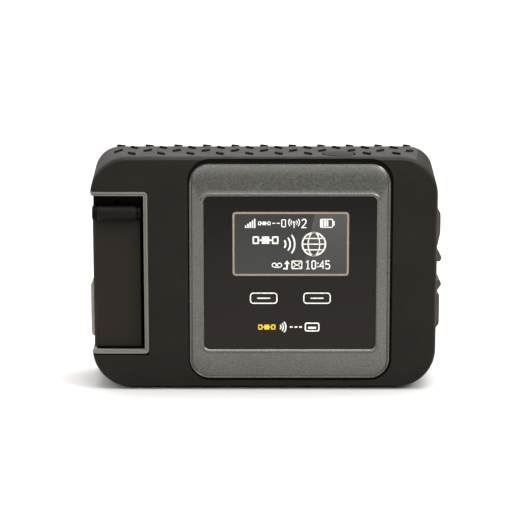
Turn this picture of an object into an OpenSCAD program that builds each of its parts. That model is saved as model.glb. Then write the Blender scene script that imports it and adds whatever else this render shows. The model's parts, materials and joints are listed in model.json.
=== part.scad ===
// Portable satellite hotspot with a flip-up antenna.
// It stands on its long lower edge. The display faces -Y, the antenna bay is at -X,
// +Z is up, and the origin is the centre of the footprint on the surface below.

/* [Body] */
// Width of the housing without the side covers
body_w = 112; // [108:1:118]
// Height of the housing without the tread blocks
body_h = 76; // [74:1:80]
// Depth over the bezel and the rear face
body_d = 31.7; // [31:0.1:33]
// Corner radius of the housing outline at the front
corner_r = 12.5; // [11:0.5:14]
// Corner radius of the housing outline at the rear
rear_corner_r = 8.3; // [7:0.1:12]
// Thickness of the housing walls
wall = 2.6; // [2.4:0.1:3]
// How far the side covers stand out of the housing
side_proud = 1.8; // [1.4:0.1:2]

/* [Tread] */
// Height of the tread blocks
tread_h = 0.65; // [0.4:0.05:0.9]
// Thickness of the rubber strips let into the housing
strip_t = 1.1; // [0.8:0.1:1.3]
// Spacing of the blocks along a row
tread_pitch = 9.5; // [8.5:0.5:10]
// Spacing of the rows
row_pitch = 6.8; // [6:0.2:7]

/* [Display] */
// Width of the bezel
bezel_w = 65; // [62:1:66]
// Height of the bezel
bezel_h = 70.9; // [68:0.1:71]
// Width of the window panel
window_w = 55.6; // [52:0.2:57]
// Height of the window panel
window_h = 50.2; // [48:0.2:52]
// Width of a soft key
key_w = 9; // [7:0.1:9.5]
// Height of a soft key
key_h = 3.8; // [3:0.1:4.2]

/* [Antenna] */
// Width of the antenna arm
arm_w = 15.5; // [14:0.5:15.5]
// Depth of the antenna arm
arm_d = 12.1; // [10:0.1:12.3]
// Radius of the hinge barrel
barrel_r = 2.3; // [2:0.1:2.5]
// Radius of the hinge pin
hinge_pin_r = 0.75; // [0.5:0.05:0.9]

/* [Buttons and ports] */
// Radius of the power button
power_r = 4.95; // [4:0.05:5.2]
// Radius of the threaded barrel of the external antenna socket
socket_r = 3.1; // [2.5:0.1:3.2]
// Radius of the emergency button
emergency_r = 3; // [2.5:0.1:3.2]

/* [Hidden] */

$fn = 48;
eps = 0.01;
fine = 0.1;
gap = 0.2;

// Levels along the depth, front to rear
front_y = -body_d / 2;
rear_y = body_d / 2;
face_y = front_y + 1.25;
recess_y = front_y + 2.45;
front_wall_y = front_y + 3.65;
split_y = 3.5;
rear_wall_y = rear_y - 1.95;
band_front_y = -12;
band_crown_y = 10;
band_rear_y = 14.2;

half_w = body_w / 2;
half_h = body_h / 2;
mid = half_h + tread_h;
side_x = half_w + side_proud;

// Edge profile of the housing: [position along the depth, inset of the outline]
edge_profile = [[face_y + 0.05, 1.6], [face_y + 0.4, 0.8], [face_y + 1.2, 0.25], [band_front_y, 0],
    [band_crown_y, 0], [band_rear_y, 0.5], [rear_y - 0.6, 1.4], [rear_y - 0.05, 3]];

// Bezel, window, screen and keys, from the middle of the housing
bezel_c = [8.3, 0.75];
bezel_r = 6.5;
seal_y = recess_y - 0.5;
window_c = [8.4, 0.35];
window_r = 1.8;
screen_c = [8.6, 9.95];
aperture = [52, 46.6];
key_z = -7.85;
key_xs = [-0.1, 17.15];
key_hole = [key_w + 0.3, key_h + 0.3];
window_y = front_y + 0.55;
window_t = 1.2;

// Antenna bay
bay_x = -38.8;
bay_top = 25.5;
bay_bottom = -25.2;
bay_back_y = 1.2;
bay_wall = 1.4;
trim_t = 1.6;
arm_x0 = -55.4;
arm_x1 = arm_x0 + arm_w;
arm_front_y = -11.5;
arm_back_y = arm_front_y + arm_d;
arm_split_y = -5.4;
arm_top = 17.2;
arm_bottom = -24.7;
hinge_y = -13.3;
hinge_z = 19.8;
barrel_x0 = -53.8;
barrel_x1 = -41;
washer_t = 0.2;
ear_t = 1.2;
core_c = [(arm_x0 + arm_x1) / 2, -5.4];
core_r = 4.2;
core_low = arm_bottom + 3.7;
core_h = 35.6;
swing_r = hinge_z - bay_bottom - 0.4;

// Top and bottom strips
strip_wrap = 35;
power_c = [24.2, -6];
power_travel = 0.6;
power_switch_top = half_h - wall - 1.8 - power_travel - 0.05;
power_switch_low = power_switch_top - 3.2;

// Right side ports, upper then lower: the ends of each cover and the length of its thick part
port_y = -3.6;
port_half = 5.3;
panel_x0 = 46;
panel_x1 = 53.6;
antenna_port_z = 12.5;
data_port_z = -11.2;
cover_low = [2.9, -20.5];
cover_high = [21.6, -3.1];
cover_plate = [8.1, 11.5];
cover_pin_x = 55;
cover_pin_r = 0.4;
cover_knuckle_r = 1;
cover_in_x = 54;
cover_y = [port_y - port_half + 0.15, port_y + port_half - 0.15];

// Left side emergency guard
guard_y = [5.2, 12.4];
guard_low = -25.2;
guard_pin_z = -3;
guard_pin_x = -55.4;
guard_pin_r = 0.5;
guard_knuckle_r = 0.95;
guard_floor_x = -54.2;
emergency_c = [8.8, -15];
emergency_travel = 0.6;

// Board, battery and door
board_y = -7;
board_t = 1.2;
board_x = [-35.5, 44.6];
board_half_h = 33;
well_c = [7, 0];
well = [64.4, 49];
well_wall = 1.2;
well_floor_y = 2.8;
battery = [62, 46];
door = [69.4, 53.4];
door_seat_y = rear_y - 1.9;
ear_x = 36.5;
case_screw_at = [for (sx = [-1, 1], sz = [-1, 1]) [48 * sx, 31.5 * sz]];
board_screw_at = [for (x = [-31.5, 41.5], sz = [-1, 1]) [x, 30.5 * sz]];

// ---------- helpers ----------

// Extrude a front view outline between two depths
module along_y(y0, y1) {
    translate([0, y1, mid])
        rotate([90, 0, 0])
            linear_extrude(y1 - y0)
                children();
}

// Extrude a side view outline (depth, height) between two widths
module along_x(x0, x1) {
    translate([x0, 0, mid])
        rotate([90, 0, 90])
            linear_extrude(x1 - x0)
                children();
}

// Round bar or bore along the depth
module rod_y(x, z, r, y0, y1) {
    translate([x, y1, mid + z])
        rotate([90, 0, 0])
            cylinder(r = r, h = y1 - y0);
}

// Round bar or bore along the width
module rod_x(y, z, r, x0, x1) {
    translate([x0, y, mid + z])
        rotate([0, 90, 0])
            cylinder(r = r, h = x1 - x0);
}

// Box from its limits, with heights from the middle of the housing
module block(x, y, z) {
    translate([x[0], y[0], mid + z[0]])
        cube([x[1] - x[0], y[1] - y[0], z[1] - z[0]]);
}

// Rounded rectangle about a centre
module rounded(size, r, centre = [0, 0]) {
    dx = size[0] / 2 - r;
    dz = size[1] / 2 - r;
    translate(centre) {
        square([size[0], 2 * dz], center = true);
        square([2 * dx, size[1]], center = true);
        for (sx = [-1, 1], sz = [-1, 1])
            translate([sx * dx, sz * dz])
                circle(r);
    }
}

// Limits of a length centred on a value
function about(centre, half) = [centre - half, centre + half];

module outline(inset, r = corner_r) {
    rounded([body_w - 2 * inset, body_h - 2 * inset], r - inset);
}

// Corner radius at a depth: it tightens from the front to the rear of the band
function corner_at(y) = let (t = (y - band_front_y) / (band_crown_y - band_front_y))
    corner_r + (rear_corner_r - corner_r) * max(0, min(1, t));

// The housing's outer shape, with rolled front and rear edges
module envelope() {
    hull()
        for (p = edge_profile)
            along_y(p[0] - fine / 2, p[0] + fine / 2)
                outline(p[1], corner_at(p[0]));
}

// Region of the front view that a tread strip covers: the whole top from the bay
// around the left corner, and a short way around the right corner
module strip_region() {
    corner_x = half_w - corner_r;
    corner_z = half_h - corner_r;
    reach = 3 * corner_r;
    start_z = bay_top + bay_wall + gap;
    polygon([[-half_w - 2, start_z], [-half_w + 4, start_z], [-corner_x, corner_z - 1],
        [corner_x, corner_z],
        [corner_x + reach * sin(strip_wrap), corner_z + reach * cos(strip_wrap)],
        [-half_w - 2, half_h + reach]]);
}

// The band of rubber that a strip fills, cut out of the shells as its channel
module strip_channel() {
    along_y(band_front_y, band_rear_y)
        intersection() {
            difference() {
                outline(-2);
                outline(strip_t);
            }
            strip_region();
        }
}

// One slanted block standing on the band at a distance along the top
module tread_block(s, y, slant, drop) {
    r = corner_at(y);
    corner_x = half_w - r;
    over = max(0, abs(s) - corner_x);
    turn = sign(s) * over / r * 180 / PI;
    x = sign(s) * min(abs(s), corner_x);
    translate([x, 0, mid + half_h - r])
        rotate([0, turn, 0])
            translate([0, y, r - 0.35 - drop])
                rotate([0, 0, slant])
                    linear_extrude(tread_h + 0.35)
                        rounded([1.2, 3.9], 0.55);
}

// Rows of blocks, alternately slanted and offset by half a pitch
module tread_blocks(with_button) {
    for (row = [-1:2]) {
        odd = abs(row) % 2;
        count = odd == 1 ? 10 : 11;
        drop = row == 2 ? 0.45 : 0;
        for (i = [0:count - 1]) {
            s = (i - (count - 1) / 2) * tread_pitch;
            y = row * row_pitch - (row == 2 ? 0.8 : 0);
            near = norm([s - power_c[0], y - power_c[1]]) < power_r + 2.4;
            if (!(with_button && near))
                tread_block(s, y, odd == 1 ? 35 : -35, drop);
        }
    }
}

module tread_strip(with_button) {
    difference() {
        union() {
            intersection() {
                envelope();
                strip_channel();
            }
            tread_blocks(with_button);
        }
        if (with_button)
            power_hole();
    }
}

module power_hole() {
    translate([power_c[0], power_c[1], mid + 30])
        cylinder(r = power_r + gap, h = 12);
}

// Turn something made for the top of the housing over to the bottom
module flip_down() {
    translate([0, 0, 2 * mid])
        mirror([0, 0, 1])
            children();
}

// ---------- housing ----------

module front_shell() {
    color([0.17, 0.155, 0.145])
    difference() {
        intersection() {
            envelope();
            along_y(front_y, split_y)
                square([body_w + 10, body_h + 10], center = true);
        }
        // inside, with bosses left standing for the case and board screws
        difference() {
            along_y(front_wall_y, split_y + 1)
                outline(wall);
            for (p = case_screw_at)
                rod_y(p[0], p[1], 2.8, front_wall_y, split_y);
            for (p = board_screw_at)
                rod_y(p[0], p[1], 2.2, front_wall_y, board_y);
        }
        // recess for the bezel and its seal, and the aperture behind them
        along_y(front_y - 1, recess_y)
            bezel_recess();
        along_y(front_y, front_wall_y + 1)
            rounded(aperture + [0.6, 0.6], 1.5, window_c);
        // antenna bay, open to the front and the left
        block([-half_w - 5, bay_x + bay_wall], [front_y - 1, bay_back_y + 1.2],
            [bay_bottom - 1.8, bay_top + bay_wall]);
        strip_channel();
        flip_down() strip_channel();
        power_hole();
        // seats of the two port covers and the holes for their pins
        for (i = [0, 1])
            block([panel_x1, half_w + 2], [port_y - port_half, port_y + port_half],
                [cover_low[i] - (i == 1 ? 0.5 : 0.2), cover_high[i] + (i == 0 ? 0.5 : 0.2)]);
        port_panel_space();
        for (z = cover_pin_z())
            rod_y(cover_pin_x, z, cover_pin_r, port_y - port_half - 0.7, port_y + port_half + 0.7);
        for (p = case_screw_at)
            rod_y(p[0], p[1], 1.9, -2, split_y + eps);
        for (p = case_screw_at)
            rod_y(p[0], p[1], 1.3, -4, -1);
        for (p = board_screw_at)
            rod_y(p[0], p[1], 1.05, -11.5, board_y + 1);
    }
}

function cover_pin_z() =
    [cover_high[0] - cover_knuckle_r, cover_low[1] + cover_knuckle_r];

module port_panel_space() {
    block([panel_x0, panel_x1], [port_y - port_half - 0.9, port_y + port_half + 0.9],
        [cover_low[1] - 2.4, cover_high[0] + 2.4]);
}

module rear_shell() {
    color([0.17, 0.155, 0.145])
    difference() {
        intersection() {
            envelope();
            union() {
                along_y(split_y, rear_y + 1)
                    square([body_w + 10, body_h + 10], center = true);
                // the battery well reaches forward past the parting face
                along_y(well_floor_y, rear_wall_y)
                    rounded(well + [2, 2] * well_wall, 2, well_c);
            }
        }
        // inside, with the well and the bosses left standing
        difference() {
            along_y(split_y - 1, rear_wall_y)
                outline(wall);
            along_y(split_y - 2, rear_wall_y)
                rounded(well + [2, 2] * well_wall, 2, well_c);
            for (p = case_screw_at)
                rod_y(p[0], p[1], 3.2, split_y, rear_wall_y);
            for (sx = [-1, 1])
                rod_y(well_c[0] + sx * ear_x, 0, 3, 6, rear_wall_y);
        }
        along_y(well_floor_y + well_wall, rear_y)
            rounded(well, 1, well_c);
        sim_pocket();
        // seat of the battery door and the bores of its screws
        along_y(door_seat_y, rear_y + 1)
            door_outline(0.3);
        for (sx = [-1, 1])
            rod_y(well_c[0] + sx * ear_x, 0, 1.05, 8, rear_y);
        // groove of the main gasket
        along_y(split_y - 1, split_y + 0.8)
            gasket_ring(0);
        strip_channel();
        flip_down() strip_channel();
        // case screw heads and shanks
        for (p = case_screw_at) {
            rod_y(p[0], p[1], 2.7, 13.4, rear_y + 1);
            rod_y(p[0], p[1], 1.4, split_y - 1, rear_y);
        }
        // recess of the emergency guard, its pin and its button
        block([-half_w - 2, guard_floor_x], [guard_y[0] - gap, guard_y[1] + gap],
            [guard_low - 0.3, guard_pin_z + 1.2]);
        rod_y(guard_pin_x, guard_pin_z, guard_pin_r, guard_y[0] - 0.9, guard_y[1] + 0.9);
        rod_x(emergency_c[0], emergency_c[1], emergency_r + 0.25, -half_w, -half_w + wall + 1);
    }
}

module gasket_ring(slack) {
    difference() {
        outline(1.5 + slack);
        outline(2.1 - slack);
    }
}

module main_gasket() {
    color([0.1, 0.1, 0.1])
    along_y(split_y, split_y + 0.75)
        gasket_ring(0.02);
}

module top_tread_strip() {
    color([0.36, 0.34, 0.34]) tread_strip(true);
}

module bottom_tread_strip() {
    color([0.36, 0.34, 0.34]) flip_down() tread_strip(false);
}

module case_screws() {
    color([0.5, 0.5, 0.52])
    for (p = case_screw_at) {
        difference() {
            rod_y(p[0], p[1], 2.5, 13.4, 15.2);
            rod_y(p[0], p[1], 0.9, 14.2, 16);
        }
        rod_y(p[0], p[1], 1.25, -3.5, 13.4);
    }
}

module case_inserts() {
    color([0.72, 0.58, 0.3])
    for (p = case_screw_at)
        difference() {
            rod_y(p[0], p[1], 1.9, -2, split_y);
            rod_y(p[0], p[1], 1.3, -3, split_y + 1);
        }
}

// ---------- display ----------

module display_bezel() {
    color([0.43, 0.43, 0.41])
    difference() {
        hull()
            for (p = [[recess_y - fine / 2, 0], [recess_y - 0.9, 0.1], [recess_y - 1.7, 1.2],
                      [front_y + 0.3, 3], [front_y + fine / 2, 4.2]])
                along_y(p[0] - fine / 2, p[0] + fine / 2)
                    rounded([bezel_w - 2 * p[1], bezel_h - 2 * p[1]], bezel_r - p[1], bezel_c);
        along_y(front_y - 1, window_y + window_t)
            rounded([window_w + 0.1, window_h + 0.1], window_r, window_c);
        along_y(front_y, recess_y + 1)
            rounded(aperture, 1.2, window_c);
    }
}

// Outline of the recess, wider than the bezel by a little more above and below it
module bezel_recess(slack = 0) {
    rounded([bezel_w + 1.05 - 2 * slack, bezel_h + 1.7 - 2 * slack], bezel_r + 0.8,
        bezel_c + [0.175, 0.05]);
}

module bezel_seal() {
    color([0.03, 0.03, 0.03])
    along_y(seal_y, recess_y)
        difference() {
            bezel_recess(0.02);
            rounded([bezel_w + fine, bezel_h + fine], bezel_r, bezel_c);
        }
}

module display_window() {
    color([0.13, 0.12, 0.11])
    along_y(window_y, window_y + window_t)
        difference() {
            rounded([window_w, window_h], window_r, window_c);
            for (x = key_xs)
                rounded(key_hole, 1.2, [x, key_z]);
        }
}

module display_module() {
    color([0.3, 0.3, 0.31])
    block(about(screen_c[0], 21.5), [-13.9, -11], about(screen_c[1], 11.4));
}

module display_bracket() {
    color([0.25, 0.25, 0.26]) {
        along_y(-10.9, -10.1)
            difference() {
                rounded([50, 45], 1, window_c);
                rounded([30, 5], 1, [8.6, -16]);
            }
        along_y(-13.2, -10.9)
            difference() {
                rounded([50, 45], 1, window_c);
                rounded([48, 43.2], 0.6, window_c);
            }
    }
}

module key_board() {
    color([0.1, 0.35, 0.2])
    block(about(screen_c[0], 17), [-11.9, -11.1], about(key_z, 4.5));
}

module key_domes() {
    color([0.8, 0.8, 0.8])
    for (x = key_xs)
        rod_y(x, key_z, 2.5, -12.2, -11.9);
}

module soft_key(x) {
    color([0.12, 0.11, 0.1]) {
        along_y(window_y + 0.1, -13.9)
            rounded([key_w, key_h], 1, [x, key_z]);
        along_y(-13.9, -13.3)
            rounded([key_w + 1.8, key_h + 1.7], 1, [x, key_z]);
        rod_y(x, key_z, 1.2, -13.3, -12.8);
    }
}

module left_key() {
    soft_key(key_xs[0]);
}

module right_key() {
    soft_key(key_xs[1]);
}

// ---------- power button ----------

module power_button() {
    color([0.33, 0.31, 0.31])
    translate([power_c[0], power_c[1], mid]) {
        translate([0, 0, half_h - wall - 1.2])
            cylinder(r = power_r + 0.8, h = 0.9);
        translate([0, 0, half_h - wall - 0.3])
            cylinder(r = power_r, h = wall + 0.3);
        // domed top: a cap cut from a large sphere
        intersection() {
            translate([0, 0, half_h])
                cylinder(r = power_r, h = tread_h - 0.05);
            translate([0, 0, half_h + tread_h - 0.05 - 28])
                sphere(r = 28);
        }
        translate([0, 0, half_h - wall - 1.8])
            cylinder(r = 1.5, h = 0.6);
    }
}

module power_switch() {
    color([0.15, 0.15, 0.16]) {
        body_top = power_switch_top - 0.4;
        base_top = power_switch_low + 0.8;
        block(about(power_c[0], 3), about(power_c[1], 2.6), [base_top, body_top]);
        translate([power_c[0], power_c[1], mid + body_top])
            cylinder(r = 1.6, h = 0.4);
        block(about(power_c[0], 4), about(power_c[1], 3), [power_switch_low, base_top]);
    }
}

// ---------- antenna bay and arm ----------

// The C-shaped section of the bay's walls, open to the left
module bay_section() {
    difference() {
        translate([-half_w - 1, bay_bottom - 1.8])
            square([half_w + 1 + bay_x + bay_wall, bay_top + bay_wall - bay_bottom + 1.8]);
        translate([-half_w - 2, bay_bottom])
            square([half_w + 2 + bay_x, bay_top - bay_bottom]);
    }
}

module bay_trim() {
    color([0.42, 0.41, 0.38])
    intersection() {
        envelope();
        union() {
            along_y(face_y - 1, face_y + trim_t)
                bay_section();
            // the ends turn round the left side
            along_y(face_y, bay_back_y)
                intersection() {
                    bay_section();
                    translate([-half_w - 2, bay_bottom - 5])
                        square([3.4, bay_top - bay_bottom + 10]);
                }
        }
    }
}

module antenna_bay() {
    color([0.08, 0.075, 0.07])
    difference() {
        union() {
            along_y(face_y + trim_t, bay_back_y)
                difference() {
                    bay_section();
                    translate([-half_w - 2, bay_bottom - 5])
                        square([3.4, bay_top - bay_bottom + 10]);
                }
            block([-half_w + 0.3, bay_x + bay_wall], [bay_back_y, bay_back_y + 1.2],
                [bay_bottom - 1.8, bay_top + bay_wall]);
        }
        rod_y(-47.65, 22.5, 1, bay_back_y - 1, bay_back_y + 2);
    }
}

module hinge_bracket() {
    color([0.1, 0.095, 0.09])
    difference() {
        union() {
            for (x = [barrel_x0 - washer_t - ear_t, barrel_x1 + washer_t]) {
                rod_x(hinge_y, hinge_z, 2.1, x, x + ear_t);
                block([x, x + ear_t], [hinge_y, -9.5], [hinge_z - 2.1, hinge_z + 2.1]);
            }
            block([barrel_x0 - washer_t - ear_t, barrel_x1 + washer_t + ear_t],
                [-9.5, bay_back_y], [hinge_z - 2.1, bay_top]);
        }
        rod_x(hinge_y, hinge_z, hinge_pin_r, -56, -38.5);
        // way for the antenna's feed
        rod_y(-47.65, 22.5, 1, -12, bay_back_y + 1);
    }
}

module hinge_pin() {
    color([0.75, 0.75, 0.77])
    rod_x(hinge_y, hinge_z, hinge_pin_r, barrel_x0 - washer_t - ear_t + 0.1,
        barrel_x1 + washer_t + ear_t - 0.1);
}

module friction_washers() {
    color([0.7, 0.7, 0.72])
    for (x = [barrel_x0 - washer_t, barrel_x1])
        difference() {
            rod_x(hinge_y, hinge_z, 1.7, x + 0.02, x + washer_t - 0.02);
            rod_x(hinge_y, hinge_z, hinge_pin_r, x - 1, x + 1);
        }
}

// The arm's outline in plan, with eased edges
module arm_section() {
    w = arm_w / 2;
    d = arm_d / 2;
    c = 0.8;
    translate([arm_x0 + w, arm_front_y + d])
        polygon([[-w, -d + c], [-w + c, -d], [w - c, -d], [w, -d + c],
                 [w, d - c], [w - c, d], [-w + c, d], [-w, d - c]]);
}

module arm_half(y0, y1) {
    difference() {
        intersection() {
            translate([0, 0, mid + arm_bottom])
                linear_extrude(arm_top - arm_bottom)
                    arm_section();
            block([arm_x0 - 1, arm_x1 + 1], [y0, y1], [arm_bottom - 1, arm_top + 1]);
            // the lower end follows the circle that it swings on
            rod_x(hinge_y, hinge_z, swing_r, arm_x0 - 1, arm_x1 + 1);
        }
        translate([core_c[0], core_c[1], mid + core_low - 0.3])
            cylinder(r = core_r + 0.9, h = core_h + 0.6);
    }
}

module antenna_front_cover() {
    color([0.2, 0.18, 0.165])
    difference() {
        union() {
            arm_half(arm_front_y - 1, arm_split_y);
            rod_x(hinge_y, hinge_z, barrel_r, barrel_x0, barrel_x1);
            // web from the barrel down to the arm
            block([barrel_x0, barrel_x1], [-14.6, arm_front_y + 1.5],
                [arm_top - 1.6, hinge_z - 1]);
        }
        rod_x(hinge_y, hinge_z, hinge_pin_r + 0.05, -57, -38);
    }
}

module antenna_back_cover() {
    color([0.14, 0.13, 0.12])
    arm_half(arm_split_y, arm_back_y + 1);
}

module antenna_core() {
    color([0.85, 0.84, 0.8])
    translate([core_c[0], core_c[1], mid + core_low])
        difference() {
            cylinder(r = core_r, h = core_h);
            translate([0, 0, -1])
                cylinder(r = core_r - 1, h = core_h + 2);
        }
}

// Four strips wound half a turn around the core
module antenna_windings() {
    color([0.75, 0.5, 0.3])
    translate([core_c[0], core_c[1], mid + core_low + 1.1])
        linear_extrude(core_h - 3.4, twist = 180, slices = 24)
            for (a = [0:90:270])
                rotate(a)
                    translate([core_r + 0.3, 0])
                        square([0.4, 1.6], center = true);
}

module antenna_lead() {
    color([0.2, 0.2, 0.2]) {
        r = 0.6;
        path = [[-47.65, 3.1, 22.5], [-47.65, 7, 22.5], [-31, 7, 22.5], [-31, 7, 29.6],
            [-31, -3, 29.6]];
        translate([0, 0, mid])
            for (i = [0:len(path) - 2]) {
                a = path[i];
                d = path[i + 1] - a;
                translate(a) {
                    if (i > 0)
                        sphere(r);
                    rotate([0, acos(d[2] / norm(d)), atan2(d[1], d[0])])
                        cylinder(r = r, h = norm(d));
                }
            }
    }
}

// ---------- right side ports ----------

module port_panel() {
    color([0.11, 0.1, 0.095])
    difference() {
        intersection() {
            port_panel_space();
            along_y(-20, 20)
                outline(2);
        }
        // plug space round the antenna socket
        rod_x(port_y, antenna_port_z, port_half, panel_x0 + 1.6, panel_x1 + 1);
        rod_x(port_y, antenna_port_z, 4.2, panel_x0 - 1, panel_x0 + 2);
        // plug space in front of the data socket, and the way through to it
        block([panel_x0 + 3, panel_x1 + 1], [-8.2, -0.8],
            [data_port_z - 6.2, data_port_z + 6.2]);
        block([panel_x0 - 1, panel_x1 + 1], [-5.9, -3.1],
            [data_port_z - 3.9, data_port_z + 3.9]);
    }
}

module antenna_socket() {
    color([0.8, 0.68, 0.38])
    difference() {
        union() {
            rod_x(port_y, antenna_port_z, socket_r, panel_x0 + 1.6, panel_x1 - 0.4);
            rod_x(port_y, antenna_port_z, 4.1, panel_x0 - 0.6, panel_x0 + 1.6);
        }
        rod_x(port_y, antenna_port_z, 2.2, panel_x0 + 2.6, panel_x1 + 1);
    }
    color([0.85, 0.75, 0.5])
        rod_x(port_y, antenna_port_z, 0.6, panel_x0 + 2.5, panel_x1 - 2);
}

module data_socket() {
    color([0.7, 0.7, 0.72])
    along_x(panel_x0 - 4, panel_x0 + 3.4)
        difference() {
            rounded([2.6, 7.6], 0.6, [-4.5, data_port_z]);
            rounded([2, 7], 0.4, [-4.5, data_port_z]);
        }
    color([0.1, 0.1, 0.1])
        block([panel_x0 - 4, panel_x0 + 2.6], [-4.8, -4.2],
            [data_port_z - 2.6, data_port_z + 2.6]);
    color([0.1, 0.1, 0.1])
        along_x(panel_x0 - 4, panel_x0 - 3)
            rounded([2, 7], 0.4, [-4.5, data_port_z]);
}

// Side view of a port cover in the XZ plane, hinged at z = 0 and hanging down:
// a thick plate that thins towards a wedge-shaped pull at its free end
module cover_outline(length, plate) {
    out = side_x - cover_pin_x;
    in = cover_in_x - cover_pin_x;
    polygon([[-0.6, 0.4], [0.5, 0.6], [1.2, 0.3], [1.2, -1.1], [out - 0.5, -2.6],
        [out - 0.5, -plate], [out - 1.6, -length + 4.4], [out - 1.5, -length + 3.9],
        [out, -length + 1.7], [out, -length + 1], [out - 0.5, -length + 0.1], [0.8, -length],
        [in + 0.2, -length], [in, -length + 0.2], [in, -2], [-0.6, -0.6]]);
}

module port_cover(i) {
    length = cover_high[i] - cover_low[i] - cover_knuckle_r;
    pin_z = cover_pin_z()[i];
    difference() {
        union() {
            translate([cover_pin_x, cover_y[1], mid + pin_z])
                mirror([0, 0, i])
                    rotate([90, 0, 0])
                        linear_extrude(cover_y[1] - cover_y[0])
                            cover_outline(length, cover_plate[i]);
            rod_y(cover_pin_x, pin_z, cover_knuckle_r, cover_y[0], cover_y[1]);
        }
        rod_y(cover_pin_x, pin_z, cover_pin_r + 0.05, -20, 20);
    }
}

module cover_pin(i) {
    rod_y(cover_pin_x, cover_pin_z()[i], cover_pin_r, port_y - port_half - 0.6,
        port_y + port_half + 0.6);
}

module antenna_port_cover() {
    color([0.2, 0.18, 0.165]) port_cover(0);
}

module antenna_cover_pin() {
    color([0.75, 0.75, 0.77]) cover_pin(0);
}

module data_port_cover() {
    color([0.2, 0.18, 0.165]) port_cover(1);
}

module data_cover_pin() {
    color([0.75, 0.75, 0.77]) cover_pin(1);
}

// ---------- emergency button ----------

module emergency_guard() {
    color([0.6, 0.57, 0.54]) {
        length = guard_pin_z - guard_low;
        in = guard_floor_x - 0.9 - guard_pin_x;
        out = -side_x - guard_pin_x;
        difference() {
            translate([guard_pin_x, guard_y[1], mid + guard_pin_z])
                rotate([90, 0, 0])
                    linear_extrude(guard_y[1] - guard_y[0])
                        union() {
                            circle(r = guard_knuckle_r);
                            polygon([[-0.7, 0.6], [-0.9, -0.9], [out, -4.5],
                                [out, -length + 1.2], [out + 0.6, -length], [in, -length],
                                [in, -2], [0.6, -0.7]]);
                        }
            rod_y(guard_pin_x, guard_pin_z, guard_pin_r + 0.05, 0, 20);
        }
    }
}

module guard_pin() {
    color([0.75, 0.75, 0.77])
        rod_y(guard_pin_x, guard_pin_z, guard_pin_r, guard_y[0] - 0.8, guard_y[1] + 0.8);
}

module emergency_button() {
    color([0.75, 0.12, 0.1]) {
        rod_x(emergency_c[0], emergency_c[1], emergency_r, -54.8, -53.2);
        rod_x(emergency_c[0], emergency_c[1], emergency_r + 0.9, -53.2, -52.6);
        rod_x(emergency_c[0], emergency_c[1], 1.2, -52.6, -52.2);
    }
}

module emergency_switch() {
    color([0.15, 0.15, 0.16]) {
        top = -52.2 + emergency_travel + 0.05;
        rod_x(emergency_c[0], emergency_c[1], 1.6, top, top + 0.5);
        block([top + 0.5, top + 2], about(emergency_c[0], 2.6), about(emergency_c[1], 2.6));
        block([top + 2, top + 2.8], about(emergency_c[0], 4), about(emergency_c[1], 6));
    }
}

// ---------- electronics ----------

module main_board() {
    color([0.08, 0.3, 0.2])
    along_y(board_y, board_y + board_t)
        difference() {
            translate([board_x[0], -board_half_h])
                square([board_x[1] - board_x[0], 2 * board_half_h]);
            // notch that the power switch stands in
            translate([power_c[0] - 4.2, power_switch_low])
                square([8.4, 10]);
            for (p = board_screw_at)
                translate(p)
                    circle(r = 1.2);
        }
}

module board_screws() {
    color([0.7, 0.7, 0.72])
    for (p = board_screw_at) {
        rod_y(p[0], p[1], 2, board_y + board_t, board_y + board_t + 1.4);
        rod_y(p[0], p[1], 1, -11, board_y + board_t);
    }
}

module satellite_modem() {
    color([0.78, 0.78, 0.8])
    along_y(board_y + board_t, 1.6)
        rounded([70, 31], 1, [5, 12.5]);
}

module radio_shield() {
    color([0.78, 0.78, 0.8])
    along_y(board_y + board_t, -2.8)
        rounded([24, 22], 1, [-16, -19]);
}

module position_antenna() {
    color([0.82, 0.78, 0.7]) {
        block([20, 38], [board_y + board_t, -2], [-31, -13]);
        color([0.8, 0.8, 0.82])
            block([22, 36], [-2, -1.8], [-29, -15]);
    }
}

module wireless_antenna() {
    color([0.75, 0.5, 0.3])
    block([0, 30], [-4, 2], [-half_h + wall, -half_h + wall + 0.3]);
}

module sim_pocket() {
    block([-20, -5.6], [3.15, 4.2], [-12, 14]);
}

module sim_card() {
    color([0.9, 0.9, 0.88])
    block([-19.5, -6.2], [3.17, 3.93], [-11.5, 13.5]);
}

module sim_holder() {
    color([0.75, 0.75, 0.77])
    along_y(3.95, 4.15)
        difference() {
            translate([-19.8, -11.8])
                square([14, 25.6]);
            translate([-17, -9])
                square([8.4, 14]);
        }
}

// ---------- battery ----------

module battery_pack() {
    color([0.22, 0.22, 0.23])
    along_y(well_floor_y + well_wall + 0.25, 13.6)
        rounded(battery, 2, well_c + [0.4, 0]);
}

module battery_contacts() {
    color([0.8, 0.68, 0.38]) {
        x = well_c[0] - well[0] / 2;
        for (z = [-5, 0, 5])
            block([x, x + 1.4], [6, 10], [z - 1, z + 1]);
    }
}

module door_outline(slack) {
    rounded(door + [2, 2] * slack, 4 + slack, well_c);
    for (sx = [-1, 1])
        translate(well_c + [sx * ear_x, 0])
            circle(r = 5 + slack);
}

module battery_door() {
    color([0.17, 0.155, 0.145])
    difference() {
        along_y(door_seat_y + 0.5, rear_y)
            door_outline(0);
        for (sx = [-1, 1]) {
            rod_y(well_c[0] + sx * ear_x, 0, 1.2, 10, rear_y + 1);
            rod_y(well_c[0] + sx * ear_x, 0, 2.9, rear_y - 0.8, rear_y + 1);
        }
    }
}

module door_gasket() {
    color([0.1, 0.1, 0.1])
    along_y(door_seat_y, door_seat_y + 0.5)
        difference() {
            rounded(door - [1.4, 1.4], 3.3, well_c);
            rounded(well + [0.8, 0.8], 1.4, well_c);
        }
}

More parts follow.
